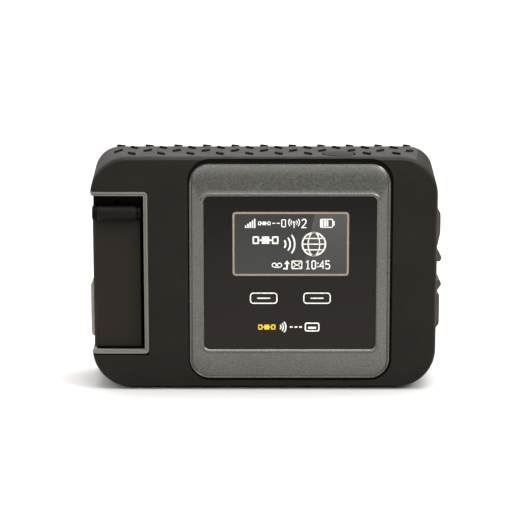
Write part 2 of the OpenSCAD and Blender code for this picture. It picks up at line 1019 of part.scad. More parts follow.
module door_screws() {
    color([0.6, 0.6, 0.62])
    for (sx = [-1, 1]) {
        x = well_c[0] + sx * ear_x;
        difference() {
            rod_y(x, 0, 2.7, rear_y - 0.8, rear_y);
            block(about(x, 3), [rear_y - 0.4, rear_y + 1], about(0, 0.4));
        }
        rod_y(x, 0, 1, 8.5, rear_y - 0.8);
    }
}

front_shell();
rear_shell();
main_gasket();
top_tread_strip();
bottom_tread_strip();
display_bezel();
bezel_seal();
display_window();
display_module();
display_bracket();
key_board();
key_domes();
left_key();
right_key();
power_button();
power_switch();
antenna_bay();
bay_trim();
hinge_bracket();
hinge_pin();
friction_washers();
antenna_front_cover();
antenna_back_cover();
antenna_core();
antenna_windings();
antenna_lead();
port_panel();
antenna_socket();
data_socket();
antenna_port_cover();
antenna_cover_pin();
data_port_cover();
data_cover_pin();
emergency_guard();
guard_pin();
emergency_button();
emergency_switch();
main_board();
board_screws();
satellite_modem();
radio_shield();
position_antenna();
wireless_antenna();
sim_holder();
sim_card();
battery_pack();
battery_contacts();
battery_door();
door_gasket();
door_screws();
case_screws();
case_inserts();
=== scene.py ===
import json
import math

import bmesh
import bpy
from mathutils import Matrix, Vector


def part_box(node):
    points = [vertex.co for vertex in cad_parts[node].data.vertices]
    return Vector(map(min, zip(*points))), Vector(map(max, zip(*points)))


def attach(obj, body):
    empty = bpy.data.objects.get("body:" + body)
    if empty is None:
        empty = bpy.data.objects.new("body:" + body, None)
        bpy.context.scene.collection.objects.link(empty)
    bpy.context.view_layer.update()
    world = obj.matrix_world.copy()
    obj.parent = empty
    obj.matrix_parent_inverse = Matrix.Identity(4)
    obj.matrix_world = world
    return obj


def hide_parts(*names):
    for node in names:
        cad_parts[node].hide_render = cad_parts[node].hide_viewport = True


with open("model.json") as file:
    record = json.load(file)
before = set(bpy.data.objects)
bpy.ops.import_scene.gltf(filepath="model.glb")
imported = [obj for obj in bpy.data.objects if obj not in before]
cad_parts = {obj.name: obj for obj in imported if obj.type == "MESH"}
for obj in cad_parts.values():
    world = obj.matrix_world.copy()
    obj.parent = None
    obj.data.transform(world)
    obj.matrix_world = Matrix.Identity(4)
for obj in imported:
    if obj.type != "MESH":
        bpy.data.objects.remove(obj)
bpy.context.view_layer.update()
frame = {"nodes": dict(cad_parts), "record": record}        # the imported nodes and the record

# Shapes are in millimetres from the middle of the housing: x right, y to the rear, z up.
# place() turns them into metres in the row frame.
MM = 0.001


def box_mm(node):
    """Lowest and highest corner of a CAD node, in millimetres from the housing's middle."""
    low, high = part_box(node)
    shift = Vector((0, 0, MIDDLE))
    return low / MM - shift, high / MM - shift


def centre_mm(node, axes):
    """The middle of a CAD node along the named axes."""
    low, high = box_mm(node)
    return tuple((getattr(low, a) + getattr(high, a)) / 2 for a in axes)


def half_mm(node, axes):
    """Half the size of a CAD node along the named axes."""
    low, high = box_mm(node)
    return tuple((getattr(high, a) - getattr(low, a)) / 2 for a in axes)


MIDDLE = sum(corner.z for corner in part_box("front_shell")) / 2 / MM
SHELL_LOW, SHELL_HIGH = box_mm("front_shell")
HALF_W = SHELL_HIGH.x
HALF_H = SHELL_HIGH.z
FACE_Y = SHELL_LOW.y
SPLIT_Y = SHELL_HIGH.y
REAR_Y = box_mm("rear_shell")[1].y
CORNER_R = 12.5
REAR_CORNER_R = 8.3
WALL = 2.6

# Rolled edges of the housing: [depth along y, inset of the outline]
FRONT_ROLL = (2.6, 1.9)
CROWN = (0.35, 8)
REAR_ROLL = (5.85, 4.0)
REAR_POWER = 2.6
SEAM = 0.14


# ---------- mesh helpers ----------

def add_object(name, data):
    obj = bpy.data.objects.new(name, data)
    bpy.context.scene.collection.objects.link(obj)
    return obj


def mesh_object(name, verts, faces):
    mesh = bpy.data.meshes.new(name)
    mesh.from_pydata([tuple(v) for v in verts], [], faces)
    shape = bmesh.new()
    shape.from_mesh(mesh)
    bmesh.ops.remove_doubles(shape, verts=shape.verts, dist=1e-5)
    bmesh.ops.recalc_face_normals(shape, faces=shape.faces)
    shape.to_mesh(mesh)
    shape.free()
    return add_object(name, mesh)


def skin(rings, wrap=False):
    """Vertices and faces over rings of equal length, closed by end caps or onto itself."""
    n, count = len(rings[0]), len(rings)
    faces = []
    for i in range(count if wrap else count - 1):
        a, b = i * n, (i + 1) % count * n
        faces += [(a + j, a + (j + 1) % n, b + (j + 1) % n, b + j) for j in range(n)]
    if not wrap:
        faces += [tuple(reversed(range(n))), tuple(range((count - 1) * n, count * n))]
    return [p for ring in rings for p in ring], faces


def solid(name, rings, wrap=False):
    return mesh_object(name, *skin(rings, wrap))


def rounded_ring(half_w, half_h, radius, y, centre=(0, 0), steps=10):
    """A rounded rectangle in the XZ plane at depth y."""
    radius = max(radius, 0.02)
    points = []
    for k, (sx, sz) in enumerate(((1, 1), (-1, 1), (-1, -1), (1, -1))):
        for i in range(steps + 1):
            a = math.radians(90 * (k + i / steps))
            x = centre[0] + sx * (half_w - radius) + radius * math.cos(a)
            z = centre[1] + sz * (half_h - radius) + radius * math.sin(a)
            points.append((x, y, z))
    return points


def rounded_slab(name, half_w, half_h, radius, y0, y1, centre=(0, 0), edge=0.0, steps=8):
    """A rounded plate from depth y0 to y1, with its front edge eased."""
    levels = [(y0, 0), (y1, 0)]
    if edge:
        levels = [(y0, edge), (y0 + edge * 0.3, edge * 0.3), (y0 + edge, 0), (y1, 0)]
    return solid(name, [rounded_ring(half_w - i, half_h - i, radius - i, y, centre, steps)
                        for y, i in levels])


def block(name, low, high):
    """A box between two corners, used only to cut other shapes."""
    x, y, z = zip(low, high)
    return solid(name, [[(x[0], d, z[0]), (x[1], d, z[0]), (x[1], d, z[1]), (x[0], d, z[1])]
                        for d in y])


def lathe(name, profile, centre, axis, steps=40):
    """A solid of revolution: profile is [radius, distance along the axis] from end to end."""
    axis = Vector(axis)
    side = axis.orthogonal().normalized()
    other = axis.cross(side)
    turn = [2 * math.pi * i / steps for i in range(steps)]
    around = [side * math.cos(a) + other * math.sin(a) for a in turn]
    return solid(name, [[Vector(centre) + axis * along + max(radius, 0.01) * out for out in around]
                        for radius, along in profile])


def prism(name, outline, low, high, axis):
    """An outline extruded along X (outline in y, z), Y (x, z) or Z (x, y)."""
    def point(a, b, d):
        return {"X": (d, a, b), "Y": (a, d, b), "Z": (a, b, d)}[axis]
    return solid(name, [[point(a, b, d) for a, b in outline] for d in (low, high)])


def arc(centre, radius, start, end, steps):
    """Points on a circle between two angles in degrees."""
    angles = [math.radians(start + (end - start) * i / steps) for i in range(steps + 1)]
    return [(centre[0] + radius * math.cos(a), centre[1] + radius * math.sin(a)) for a in angles]


def smooth_outline(points, radius, steps=4):
    """A closed polygon with each corner rounded."""
    out = []
    count = len(points)
    for i in range(count):
        before, here, after = (Vector(points[(i + k) % count]) for k in (-1, 0, 1))
        reach = min(radius, (before - here).length * 0.45, (after - here).length * 0.45)
        a = here + (before - here).normalized() * reach
        b = here + (after - here).normalized() * reach
        for k in range(steps + 1):
            t = k / steps
            out.append(tuple((1 - t) ** 2 * a + 2 * t * (1 - t) * here + t ** 2 * b))
    return out


def apply_modifiers(obj):
    graph = bpy.context.evaluated_depsgraph_get()
    mesh = bpy.data.meshes.new_from_object(obj.evaluated_get(graph))
    obj.modifiers.clear()
    obj.data = mesh


def combine(obj, others, operation="DIFFERENCE"):
    """Cut obj by the others, or join or intersect it with them; they are used up."""
    for other in others:
        step = obj.modifiers.new("combine", "BOOLEAN")
        step.operation = operation
        step.solver = "EXACT"
        step.object = other
    apply_modifiers(obj)
    for other in others:
        bpy.data.objects.remove(other)
    return obj


def ease(obj, width, angle=35):
    """Round the edges of a shape that are sharper than an angle."""
    step = obj.modifiers.new("ease", "BEVEL")
    step.width = width
    step.segments = 2
    step.limit_method = "ANGLE"
    step.angle_limit = math.radians(angle)
    step.use_clamp_overlap = True
    apply_modifiers(obj)


def place(obj, body, slot, *nodes, material=None, sharp=32, weighted=False):
    """Put a finished shape in the row frame, smooth it, and give it its body and finish."""
    for v in obj.data.vertices:
        v.co = Vector((v.co.x, v.co.y, v.co.z + MIDDLE)) * MM
    obj.data.polygons.foreach_set("use_smooth", [True] * len(obj.data.polygons))
    obj.data.set_sharp_from_angle(angle=math.radians(sharp))
    if weighted:
        step = obj.modifiers.new("normals", "WEIGHTED_NORMAL")
        step.keep_sharp = True
    obj.data.materials.clear()
    obj.data.materials.append(material or MATERIALS[slot])
    if nodes:
        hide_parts(*nodes)
    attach(obj, body)


# ---------- materials ----------

def linear(r, g, b):
    """Scene-linear colour from 0 to 255 display values."""
    def one(c):
        c = c / 255
        return c / 12.92 if c <= 0.04045 else ((c + 0.055) / 1.055) ** 2.4
    return (one(r), one(g), one(b), 1)


def shade(colour, factor):
    return tuple(c * factor for c in colour[:3]) + (1,)


class Nodes:
    """The node tree of a material or of the air, and short ways to add to it."""

    def __init__(self, owner, shader="Principled BSDF", coordinate="Object"):
        owner.use_nodes = True
        self.owner = owner
        self.tree = owner.node_tree
        self.shader = self.tree.nodes[shader]
        self.where = self.add("ShaderNodeTexCoord", coordinate)

    def feed(self, socket, value):
        """Set a socket, or link it where the value is another node's output."""
        if isinstance(value, bpy.types.NodeSocket):
            self.tree.links.new(value, socket)
        else:
            socket.default_value = value

    def add(self, kind, output, inputs=None, **settings):
        """A node with its settings and inputs; gives back the named output."""
        node = self.tree.nodes.new(kind)
        for key, value in settings.items():
            setattr(node, key, value)
        for key, value in (inputs or {}).items():
            self.feed(node.inputs[key], value)
        return node.outputs[output]

    def set(self, socket, value):
        self.feed(self.shader.inputs[socket], value)

    def noise(self, size_mm, detail=2.0, roughness=0.5, stretch=None):
        """Noise whose features are about size_mm across."""
        where = self.where
        if stretch:
            where = self.add("ShaderNodeMapping", "Vector", {"Vector": where, "Scale": stretch})
        return self.add("ShaderNodeTexNoise", "Fac", {
            "Vector": where, "Scale": 1 / (size_mm * MM), "Detail": detail, "Roughness": roughness})

    def mottle(self, noise, colour, spread):
        """A colour that drifts lighter and darker by spread with the noise."""
        return self.ramp(noise, [(0.3, shade(colour, 1 - spread)), (0.7, shade(colour, 1 + spread))])

    def axis(self, name):
        """One coordinate of the shaded point, in metres on a material."""
        return self.add("ShaderNodeSeparateXYZ", name, {"Vector": self.where})

    def cells(self, size_mm):
        """A random value for each cell about size_mm across."""
        cell = self.add("ShaderNodeTexVoronoi", "Color", {
            "Vector": self.where, "Scale": 1 / (size_mm * MM)})
        return self.add("ShaderNodeSeparateColor", "Red", {"Color": cell})

    def ramp(self, value, stops):
        node = self.tree.nodes.new("ShaderNodeValToRGB")
        while len(node.color_ramp.elements) < len(stops):
            node.color_ramp.elements.new(0.5)
        for element, (position, colour) in zip(node.color_ramp.elements, stops):
            element.position = position
            element.color = colour
        self.feed(node.inputs["Fac"], value)
        return node.outputs["Color"]

    def range(self, value, low, high, from_low=0.3, from_high=0.7):
        return self.add("ShaderNodeMapRange", "Result", {
            "Value": value, "From Min": from_low, "From Max": from_high,
            "To Min": low, "To Max": high})

    def math(self, kind, a, b):
        return self.add("ShaderNodeMath", "Value", {0: a, 1: b}, operation=kind)

    def mix(self, factor, a, b, blend="MIX"):
        return self.add("ShaderNodeMix", "Result", {"Factor": factor, "A": a, "B": b},
                        data_type="RGBA", blend_type=blend)

    def multiply(self, a, b):
        return self.mix(1, a, b, "MULTIPLY")

    def bump(self, height, strength, distance_mm, below=None):
        inputs = {"Height": height, "Strength": strength, "Distance": distance_mm * MM}
        if below:
            inputs["Normal"] = below
        return self.add("ShaderNodeBump", "Normal", inputs)


def finish(name):
    return Nodes(bpy.data.materials.new(name))


def moulded(name, colour, roughness, grain=0.28, depth=0.05, spread=0.12, shine=0.15):
    """Moulded plastic or rubber: fine spark-eroded grain and slow drifts of tone and gloss."""
    n = finish(name)
    base = n.mottle(n.noise(14, 3), colour, spread)
    dust = n.ramp(n.noise(grain, 1), [(0.35, (0.8, 0.8, 0.8, 1)), (0.66, (1.22, 1.21, 1.19, 1))])
    n.set("Base Color", n.multiply(base, dust))
    n.set("Roughness", n.range(n.noise(6, 2), roughness - 0.06, roughness + 0.06))
    n.set("Normal", n.bump(n.noise(grain, 3, 0.6), 0.5, depth))
    n.set("Specular IOR Level", shine)
    return n.owner


def flake_paint(name, colour):
    """Gunmetal paint: metallic, with fine flakes that catch the light one by one."""
    n = finish(name)
    flake = n.cells(0.26)
    base = n.ramp(flake, [(0.0, shade(colour, 0.85)), (0.7, shade(colour, 1.0)),
                          (1.0, shade(colour, 1.3))])
    drift = n.ramp(n.noise(18, 2), [(0.3, (0.94, 0.94, 0.95, 1)), (0.7, (1.05, 1.04, 1.03, 1))])
    n.set("Base Color", n.multiply(base, drift))
    n.set("Metallic", 0.85)
    n.set("Roughness", n.range(flake, 0.26, 0.38, 0, 1))
    orange_peel = n.bump(n.noise(2.5, 1), 0.06, 0.03)
    n.set("Normal", n.bump(n.noise(0.25, 2, 0.7), 0.35, 0.025, orange_peel))
    return n.owner


def metal(name, colour, roughness, brush=None):
    """Bare or plated metal with fine turning marks, drawn out where brush stretches them."""
    n = finish(name)
    marks = n.noise(0.35, 3, 0.6, brush)
    n.set("Base Color", n.ramp(marks, [(0.3, shade(colour, 0.85)), (0.7, shade(colour, 1.1))]))
    n.set("Metallic", 1.0)
    n.set("Roughness", n.range(n.noise(2, 3), roughness - 0.07, roughness + 0.1))
    n.set("Normal", n.bump(marks, 0.2, 0.02))
    return n.owner


def window_gloss():
    """Smoked window: a hard glossy coat over a brown-black print, faintly smudged, with a painted
    reflection of the floor that makes it lighter towards the bottom.
    """
    n = finish("window_gloss_finish")
    low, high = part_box("display_window")
    # painted reflection of the floor: the colour is lightest at the bottom of the pane and near black at
    # its top
    painted_reflection = n.ramp(n.range(n.axis("Z"), 0, 1, low.z, high.z), [
        (0.0, linear(31, 26, 23)), (0.55, linear(25, 20, 18)), (1.0, linear(7, 6, 5))])
    n.set("Base Color", n.multiply(painted_reflection, n.mottle(n.noise(0.5, 2), WHITE, 0.07)))
    n.set("Roughness", n.range(n.noise(9, 4), 0.14, 0.18))
    n.set("Specular IOR Level", 0.13)
    n.set("Normal", n.bump(n.noise(0.3, 2), 0.05, 0.01))
    return n.owner


def display_face():
    """The lit display: grey with a faint pixel grid, and a painted glare that makes a slanted half paler.
    """
    n = finish("display_face_finish")
    z = n.axis("Z")
    # painted glare: the part of the display right of a slanted edge is paler
    slant = n.math("SUBTRACT", n.axis("X"), n.math("MULTIPLY", z, GLARE_SLANT))
    edge = (GLARE_EDGE_X - GLARE_SLANT * (SCREEN_CENTRE[1] + MIDDLE)) * MM
    blur = 0.15 * MM
    half = n.range(slant, 0, 1, edge - blur, edge + blur)
    low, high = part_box("display_module")
    # painted shade and glare with height: the plain half darkens towards the top, the glared half
    # brightens towards it
    rise = n.range(z, 0.0, 1.0, low.z, high.z)
    dark = n.ramp(rise, [(0.0, linear(61, 61, 61)), (1.0, linear(50, 50, 50))])
    pale = n.ramp(rise, [(0.0, linear(62, 62, 62)), (1.0, linear(77, 77, 77))])
    grid = n.add("ShaderNodeTexVoronoi", "Distance", {
        "Vector": n.where, "Randomness": 0, "Scale": 1 / (PIXEL * MM)}, distance="CHEBYCHEV")
    lines = n.ramp(grid, [(0.3, WHITE), (0.5, shade(WHITE, 0.93))])
    n.set("Base Color", n.multiply(n.mix(half, dark, pale), lines))
    n.set("Roughness", n.range(n.noise(9, 3), 0.2, 0.24))
    n.set("Specular IOR Level", 0.13)
    return n.owner


def arm_shell():
    """The arm's moulding, with painted shade that darkens it towards the hinge, in the dark of the bay."""
    n = finish("arm_finish")
    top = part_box("antenna_back_cover")[1].z
    # painted shade: the colour falls to 0.4 of itself over the top of the arm, round the barrel
    hinge = n.ramp(n.range(n.axis("Z"), 0, 1, top - 3 * MM, top + MM),
                   [(0.0, WHITE), (1.0, shade(WHITE, 0.4))])
    n.set("Base Color", n.multiply(n.mottle(n.noise(0.24, 2), ARM, 0.12), hinge))
    n.set("Roughness", n.range(n.noise(6, 2), 0.46, 0.56))
    n.set("Specular IOR Level", 0.08)
    n.set("Normal", n.bump(n.noise(0.24, 3, 0.6), 0.5, 0.03))
    return n.owner


def board_laminate():
    """Solder mask over faint copper tracks."""
    n = finish("board_finish")
    track = n.noise(1.6, 1, 0.4, (1, 1, 0.2))
    mask = linear(20, 66, 44)
    n.set("Base Color", n.ramp(track, [(0.47, mask), (0.5, linear(34, 92, 60)), (0.53, mask)]))
    n.set("Roughness", n.range(n.noise(3, 2), 0.3, 0.45))
    n.set("Normal", n.bump(track, 0.3, 0.03))
    return n.owner


WHITE = (1, 1, 1, 1)
SCREEN_CENTRE = (8.6, 10.03)
# the painted glare on the display: the slant of its edge and where that edge crosses the screen
GLARE_SLANT = 0.21
GLARE_EDGE_X = 14.2
PIXEL = 0.3
ARM = linear(36, 32, 28)
MATERIALS = {
    "shell_plastic": moulded("shell_finish", linear(29, 26, 23), 0.55, 0.22, shine=0.1),
    # the seal rubber is near black: partly its own black, partly painted shade for the groove round the
    # bezel
    "seal_rubber": moulded("seal_finish", linear(9, 8, 8), 0.62, depth=0.03, shine=0.05),
    "tread_rubber": moulded("tread_finish", linear(45, 41, 41), 0.68, 0.3, 0.06, shine=0.25),
    "bezel_metal": flake_paint("bezel_finish", linear(101, 101, 97)),
    "window_gloss": window_gloss(),
    "display_grey": display_face(),
    "inner_plastic": moulded("inner_finish", linear(40, 39, 39), 0.5, depth=0.03),
    "board_green": board_laminate(),
    "spring_steel": metal("spring_steel_finish", linear(200, 200, 203), 0.25),
    "key_plastic": moulded("key_finish", linear(34, 30, 28), 0.42, 0.2, 0.02, 0.06),
    # the bay's plastic is near black, darker than the shell's: partly its own black, partly painted shade
    # for the deep bay
    "bay_plastic": moulded("bay_finish", linear(8, 7, 7), 0.5, depth=0.04, shine=0.05),
    "trim_grey": moulded("trim_finish", linear(108, 106, 100), 0.4, 0.2, 0.02, 0.06, 0.2),
    "arm_plastic": arm_shell(),
    "core_ceramic": moulded("ceramic_finish", linear(222, 218, 205), 0.55, 0.5, 0.03, 0.04),
    "copper": metal("copper_finish", linear(205, 140, 98), 0.3),
    "plated_brass": metal("brass_finish", linear(222, 190, 120), 0.22),
    "cover_rubber": moulded("cover_finish", linear(78, 72, 65), 0.66, 0.3, 0.05, shine=0.25),
    "guard_grey": moulded("guard_finish", linear(168, 159, 147), 0.5, 0.26, 0.04, 0.06),
    "red_plastic": moulded("red_finish", linear(178, 34, 28), 0.35, 0.4, 0.02, 0.05, 0.4),
    "can_steel": metal("can_finish", linear(196, 196, 200), 0.32, (1, 1, 0.1)),
    "card_white": moulded("card_finish", linear(232, 230, 224), 0.4, 0.5, 0.01, 0.03),
    "battery_plastic": moulded("battery_finish", linear(44, 44, 47), 0.45, 0.3, 0.03),
    "screw_steel": metal("screw_finish", linear(150, 150, 152), 0.3),
}
PRINT_WHITE = moulded("print_white_finish", linear(240, 238, 232), 0.35, 0.5, 0.005, 0.03)
PRINT_YELLOW = moulded("print_yellow_finish", linear(236, 198, 34), 0.35, 0.5, 0.005, 0.04)
FRAME_TAN = moulded("frame_tan_finish", linear(148, 132, 116), 0.4, 0.3, 0.01, 0.08)
POWER_CAP = moulded("power_cap_finish", linear(28, 26, 26), 0.5, 0.2, 0.02, shine=0.15)
BLACK_OXIDE = metal("black_oxide_finish", linear(26, 26, 27), 0.5)
TREAD_BLOCK = moulded("tread_block_finish", linear(13, 11, 11), 0.6, 0.3, 0.05, shine=0.1)


# ---------- housing ----------

def inset_at(y):
    """How far the housing's outline is drawn in at a depth."""
    deep, inward = FRONT_ROLL
    rise, reach = CROWN
    front = FACE_Y + deep
    if y < front:
        t = (front - max(y, FACE_Y + rise)) / deep
        inset = inward * (1 - math.sqrt(1 - t * t))
        if y < FACE_Y + rise:
            inset += reach * (1 - max(0, (y - FACE_Y) / rise) ** (1 / 3))
        return inset
    deep, inward = REAR_ROLL
    rear = REAR_Y - deep
    if y > rear:
        t = min(1, (y - rear) / deep)
        return inward * (1 - (1 - t ** REAR_POWER) ** (1 / REAR_POWER))
    return 0


def corner_at(y):
    """The housing's corner radius at a depth: it tightens towards the rear."""
    front, rear = FACE_Y + FRONT_ROLL[0], REAR_Y - REAR_ROLL[0]
    t = min(1, max(0, (y - front) / (rear - front)))
    return CORNER_R + (REAR_CORNER_R - CORNER_R) * t


def body_ring(y, inset):
    return rounded_ring(HALF_W - inset, HALF_H - inset, corner_at(y) - inset, y, steps=16)


def eased(values):
    """Positions from 0 to 1 that crowd towards both ends."""
    return [(1 - math.cos(math.pi * i / values)) / 2 for i in range(values + 1)]


def housing_half(name, front):
    """The front or rear half of the housing as a solid, chamfered at the parting line."""
    deep, _ = FRONT_ROLL if front else REAR_ROLL
    if front:
        rise, _ = CROWN
        levels = [FACE_Y + rise * (i / 8) ** 3 for i in range(8)]
        levels += [FACE_Y + rise + (deep - rise) * t for t in eased(12)]
        return solid(name, [body_ring(y, inset_at(y)) for y in levels]
                     + [body_ring(SPLIT_Y - SEAM, 0), body_ring(SPLIT_Y, SEAM)])
    levels = [REAR_Y - deep * (1 - t) for t in eased(16)]
    return solid(name, [body_ring(SPLIT_Y, SEAM), body_ring(SPLIT_Y + SEAM, 0)]
                 + [body_ring(y, inset_at(y)) for y in levels])


def cavity(y0, y1, inset):
    return rounded_slab("cavity", HALF_W - inset, HALF_H - inset, CORNER_R - inset, y0, y1,
                        steps=10)


# The top band is unrolled: s runs along it from its middle, y to the rear, out off it.
STRIP_T = 1.1
STRIP_GAP = 0.04
STRIP_Y = (-12, 14.2)
RIGHT_WRAP = math.radians(25)
BAY_TOP = 25.5
BAY_BOTTOM = -25.2
BAY_X = -38.8
BAY_BACK_Y = 2.4
TRIM_BACK_Y = 1.0
TRIM_W = 1.4
FLAT = HALF_W - CORNER_R
STRIP_END_Z = BAY_TOP + TRIM_W + 0.2


def left_turn(radius):
    """How far the band turns round the corner beside the bay, and its length after that."""
    centre_z = HALF_H - radius
    if centre_z > STRIP_END_Z:
        return math.pi / 2, centre_z - STRIP_END_Z
    return math.acos((STRIP_END_Z - centre_z) / radius), 0


LEFT_LENGTH = CORNER_R * left_turn(CORNER_R)[0]


def band_surface(side, middle, turn, drop, y, out, down):
    """A point off the band: out to middle, then round the corner by turn, then straight down."""
    radius = corner_at(y)
    bend = radius + out - inset_at(y)
    x = side * (middle + bend * math.sin(turn))
    z = HALF_H - radius + bend * math.cos(turn) - drop
    return (x, y, -z if down else z)


def band_point(s, y, out, down):
    """A point on the top band, or on the bottom one when down is true."""
    radius = corner_at(y)
    side = 1 if s > 0 else -1
    turn = drop = 0
    if s > FLAT:
        turn = (s - FLAT) / CORNER_R
    elif s < -FLAT:
        most, rest = left_turn(radius)
        along = (-s - FLAT) / LEFT_LENGTH * (radius * most + rest)
        turn = min(along / radius, most)
        drop = max(0, along - radius * most)
    middle = min(abs(s), FLAT) / FLAT * (HALF_W - radius)
    return band_surface(side, middle, turn, drop, y, out, down)


def tread_point(s, y, out, down):
    """A point on the band at the distance s along its surface, whatever the depth."""
    radius = corner_at(y)
    over = max(0, abs(s) - HALF_W + radius)
    return band_surface(1 if s > 0 else -1, abs(s) - over, over / radius, 0, y, out, down)


def band_stations():
    """Distances along the band, from beside the bay to round the far corner."""
    start, end = -FLAT - LEFT_LENGTH, FLAT + CORNER_R * RIGHT_WRAP
    left = [start + (-FLAT - start) * i / 24 for i in range(25)]
    right = [FLAT + (end - FLAT) * i / 10 for i in range(11)]
    return left + [FLAT * (i / 10 * 2 - 1) for i in range(1, 10)] + right


def band_solid(name, slack, top, down):
    """The strip of the band between its seams; slack widens it for the channel it lies in."""
    y0, y1 = STRIP_Y[0] - slack, STRIP_Y[1] + slack
    samples = [y0 + (y1 - y0) * t for t in eased(22)]
    outer = [(y, top) for y in samples]
    if not slack:
        outer = [(y0, -SEAM)] + [(y, 0) for y in samples[1:-1]] + [(y1, -SEAM)]
    section = outer + [(y1, -STRIP_T - slack), (y0, -STRIP_T - slack)]
    stations = band_stations()
    if slack:
        stations = [stations[0] - slack] + stations + [stations[-1] + slack]
    return solid(name, [[band_point(s, y, out, down) for y, out in section] for s in stations])


def channel(down):
    return band_solid("channel", STRIP_GAP, 3, down)


POWER_LOW, POWER_HIGH = box_mm("power_button")
POWER_AT = centre_mm("power_button", "xy")
POWER_R = 4.95


def power_bore(clearance):
    profile = [(POWER_R + clearance, 0), (POWER_R + clearance, 12)]
    return lathe("power_bore", profile, (*POWER_AT, 30), (0, 0, 1), 48)


BEZEL_LOW, BEZEL_HIGH = box_mm("display_bezel")
BEZEL_C = centre_mm("display_bezel", "xz")
BEZEL_HALF = half_mm("display_bezel", "xz")
BEZEL_R = 6.5
RECESS_Y = BEZEL_HIGH.y
WINDOW_LOW, WINDOW_HIGH = box_mm("display_window")
WINDOW_C = centre_mm("display_window", "xz")
WINDOW_HALF = half_mm("display_window", "xz")
WINDOW_R = 1.8
WINDOW_Y = WINDOW_LOW.y
COVERS = ("antenna_port_cover", "data_port_cover")


def seat(name, low_room, high_room):
    """The opening in the right side that a port cover closes."""
    low, high = box_mm(name)
    half_h = (high.z - low.z + low_room + high_room) / 2
    centre_z = (high.z + low.z + high_room - low_room) / 2
    half_y = (high.y - low.y) / 2 + 0.15
    centre_y = (high.y + low.y) / 2
    flat = rounded_ring(half_y, half_h, 1.0, 0, (centre_y, centre_z), 6)
    panel_x = box_mm("port_panel")[1].x
    return prism("seat", [(a, b) for a, _, b in flat], panel_x - 0.01, HALF_W + 3, "X")


APERTURE_HALF = (26.3, 23.6)


def front_shell():
    """The front half, with the bezel's recess, the bay and the openings in its side."""
    shell = housing_half("housing_front", True)
    room = [(0.35, 0.7), (0.8, 1.3)]     # past the bezel: left and right, below and above
    half = [BEZEL_HALF[i] + sum(room[i]) / 2 for i in (0, 1)]
    centre = [BEZEL_C[i] + (room[i][1] - room[i][0]) / 2 for i in (0, 1)]
    cutters = [
        cavity(FACE_Y + 2.4, SPLIT_Y + 1, WALL),
        rounded_slab("recess", *half, BEZEL_R + 0.8, -25, RECESS_Y, centre, steps=14),
        rounded_slab("aperture", *APERTURE_HALF, 1.5, -25, FACE_Y + 4, WINDOW_C),
        block("bay", (-70, -25, BAY_BOTTOM - 1.8), (BAY_X + TRIM_W, BAY_BACK_Y, BAY_TOP + TRIM_W)),
        channel(False), channel(True), power_bore(0.22),
        seat(COVERS[0], 0.2, 0.5), seat(COVERS[1], 0.5, 0.2),
        block("panel_room", *box_mm("port_panel")),
    ]
    combine(shell, cutters)
    ease(shell, 0.22, 40)
    place(shell, "housing", "shell_plastic", "front_shell", weighted=True)


DOOR_LOW, DOOR_HIGH = box_mm("battery_door")
DOOR_C = centre_mm("battery_door", "xz")
DOOR_HALF = (34.7, 26.7)
DOOR_R = 4
EAR_X = 36.5
EAR_R = 5
WELL_HALF = (32.2, 24.5)
WELL_WALL = 1.2


def door_outline(grow, y):
    """The battery door's outline, a rounded rectangle with a round ear at each side."""
    half_w, half_h = DOOR_HALF[0] + grow, DOOR_HALF[1] + grow
    ear = EAR_R + grow
    half = math.acos((half_w - EAR_X) / ear)
    points = []
    for k, (sx, sz) in enumerate(((1, 1), (-1, 1), (-1, -1), (1, -1))):
        if k in (0, 2):
            swing = [-half + 2 * half * i / 16 for i in range(17)]
            points += [(sx * (EAR_X + ear * math.cos(a)), sx * ear * math.sin(a)) for a in swing]
        corner = DOOR_R + grow
        for i in range(9):
            a = math.radians(90 * (k + i / 8))
            points.append((sx * (half_w - corner) + corner * math.cos(a),
                           sz * (half_h - corner) + corner * math.sin(a)))
    return [(x + DOOR_C[0], y, z + DOOR_C[1]) for x, z in points]


GUARD_LOW, GUARD_HIGH = box_mm("emergency_guard")
CASE_SCREWS = [(48 * sx, 31.5 * sz) for sx in (-1, 1) for sz in (-1, 1)]
GUARD_FLOOR_X = -54.2
BUTTON_BORE_R = 3.25
COUNTERBORE_R = 2.7


def rear_shell():
    """The rear half, with the battery well, the door's seat and the guard's recess."""
    shell = housing_half("housing_rear", False)
    inner = cavity(SPLIT_Y - 1, REAR_Y - 1.95, WALL)
    walls = [half + WELL_WALL for half in WELL_HALF]
    combine(inner, [rounded_slab("well_walls", *walls, 2, SPLIT_Y - 3, REAR_Y, DOOR_C)])
    button_at = (-57, *centre_mm("emergency_button", "yz"))
    cutters = [
        inner,
        rounded_slab("well", *WELL_HALF, 1, SPLIT_Y + 0.5, REAR_Y + 1, DOOR_C),
        solid("door_seat", [door_outline(0.3, y) for y in (DOOR_LOW.y - 0.5, 20)]),
        channel(False), channel(True),
        block("guard_recess", (-60, GUARD_LOW.y - 0.2, GUARD_LOW.z - 0.3),
              (GUARD_FLOOR_X, GUARD_HIGH.y + 0.2, GUARD_HIGH.z + 0.3)),
        lathe("button_bore", [(BUTTON_BORE_R, 0), (BUTTON_BORE_R, 5)], button_at, (1, 0, 0)),
    ]
    cutters += [lathe("counterbore", [(COUNTERBORE_R, 0), (COUNTERBORE_R, 5)], (x, 13.4, z), (0, 1, 0))
                for x, z in CASE_SCREWS]
    combine(shell, cutters)
    ease(shell, 0.22, 40)
    place(shell, "housing", "shell_plastic", "rear_shell", weighted=True)


# ---------- tread ----------

class Pile:
    """Several closed shapes gathered into one mesh."""

    def __init__(self):
        self.verts, self.faces = [], []

    def add(self, rings, wrap=False):
        verts, faces = skin(rings, wrap)
        self.faces += [tuple(i + len(self.verts) for i in face) for face in faces]
        self.verts += verts

    def mesh(self, name):
        return mesh_object(name, self.verts, self.faces)


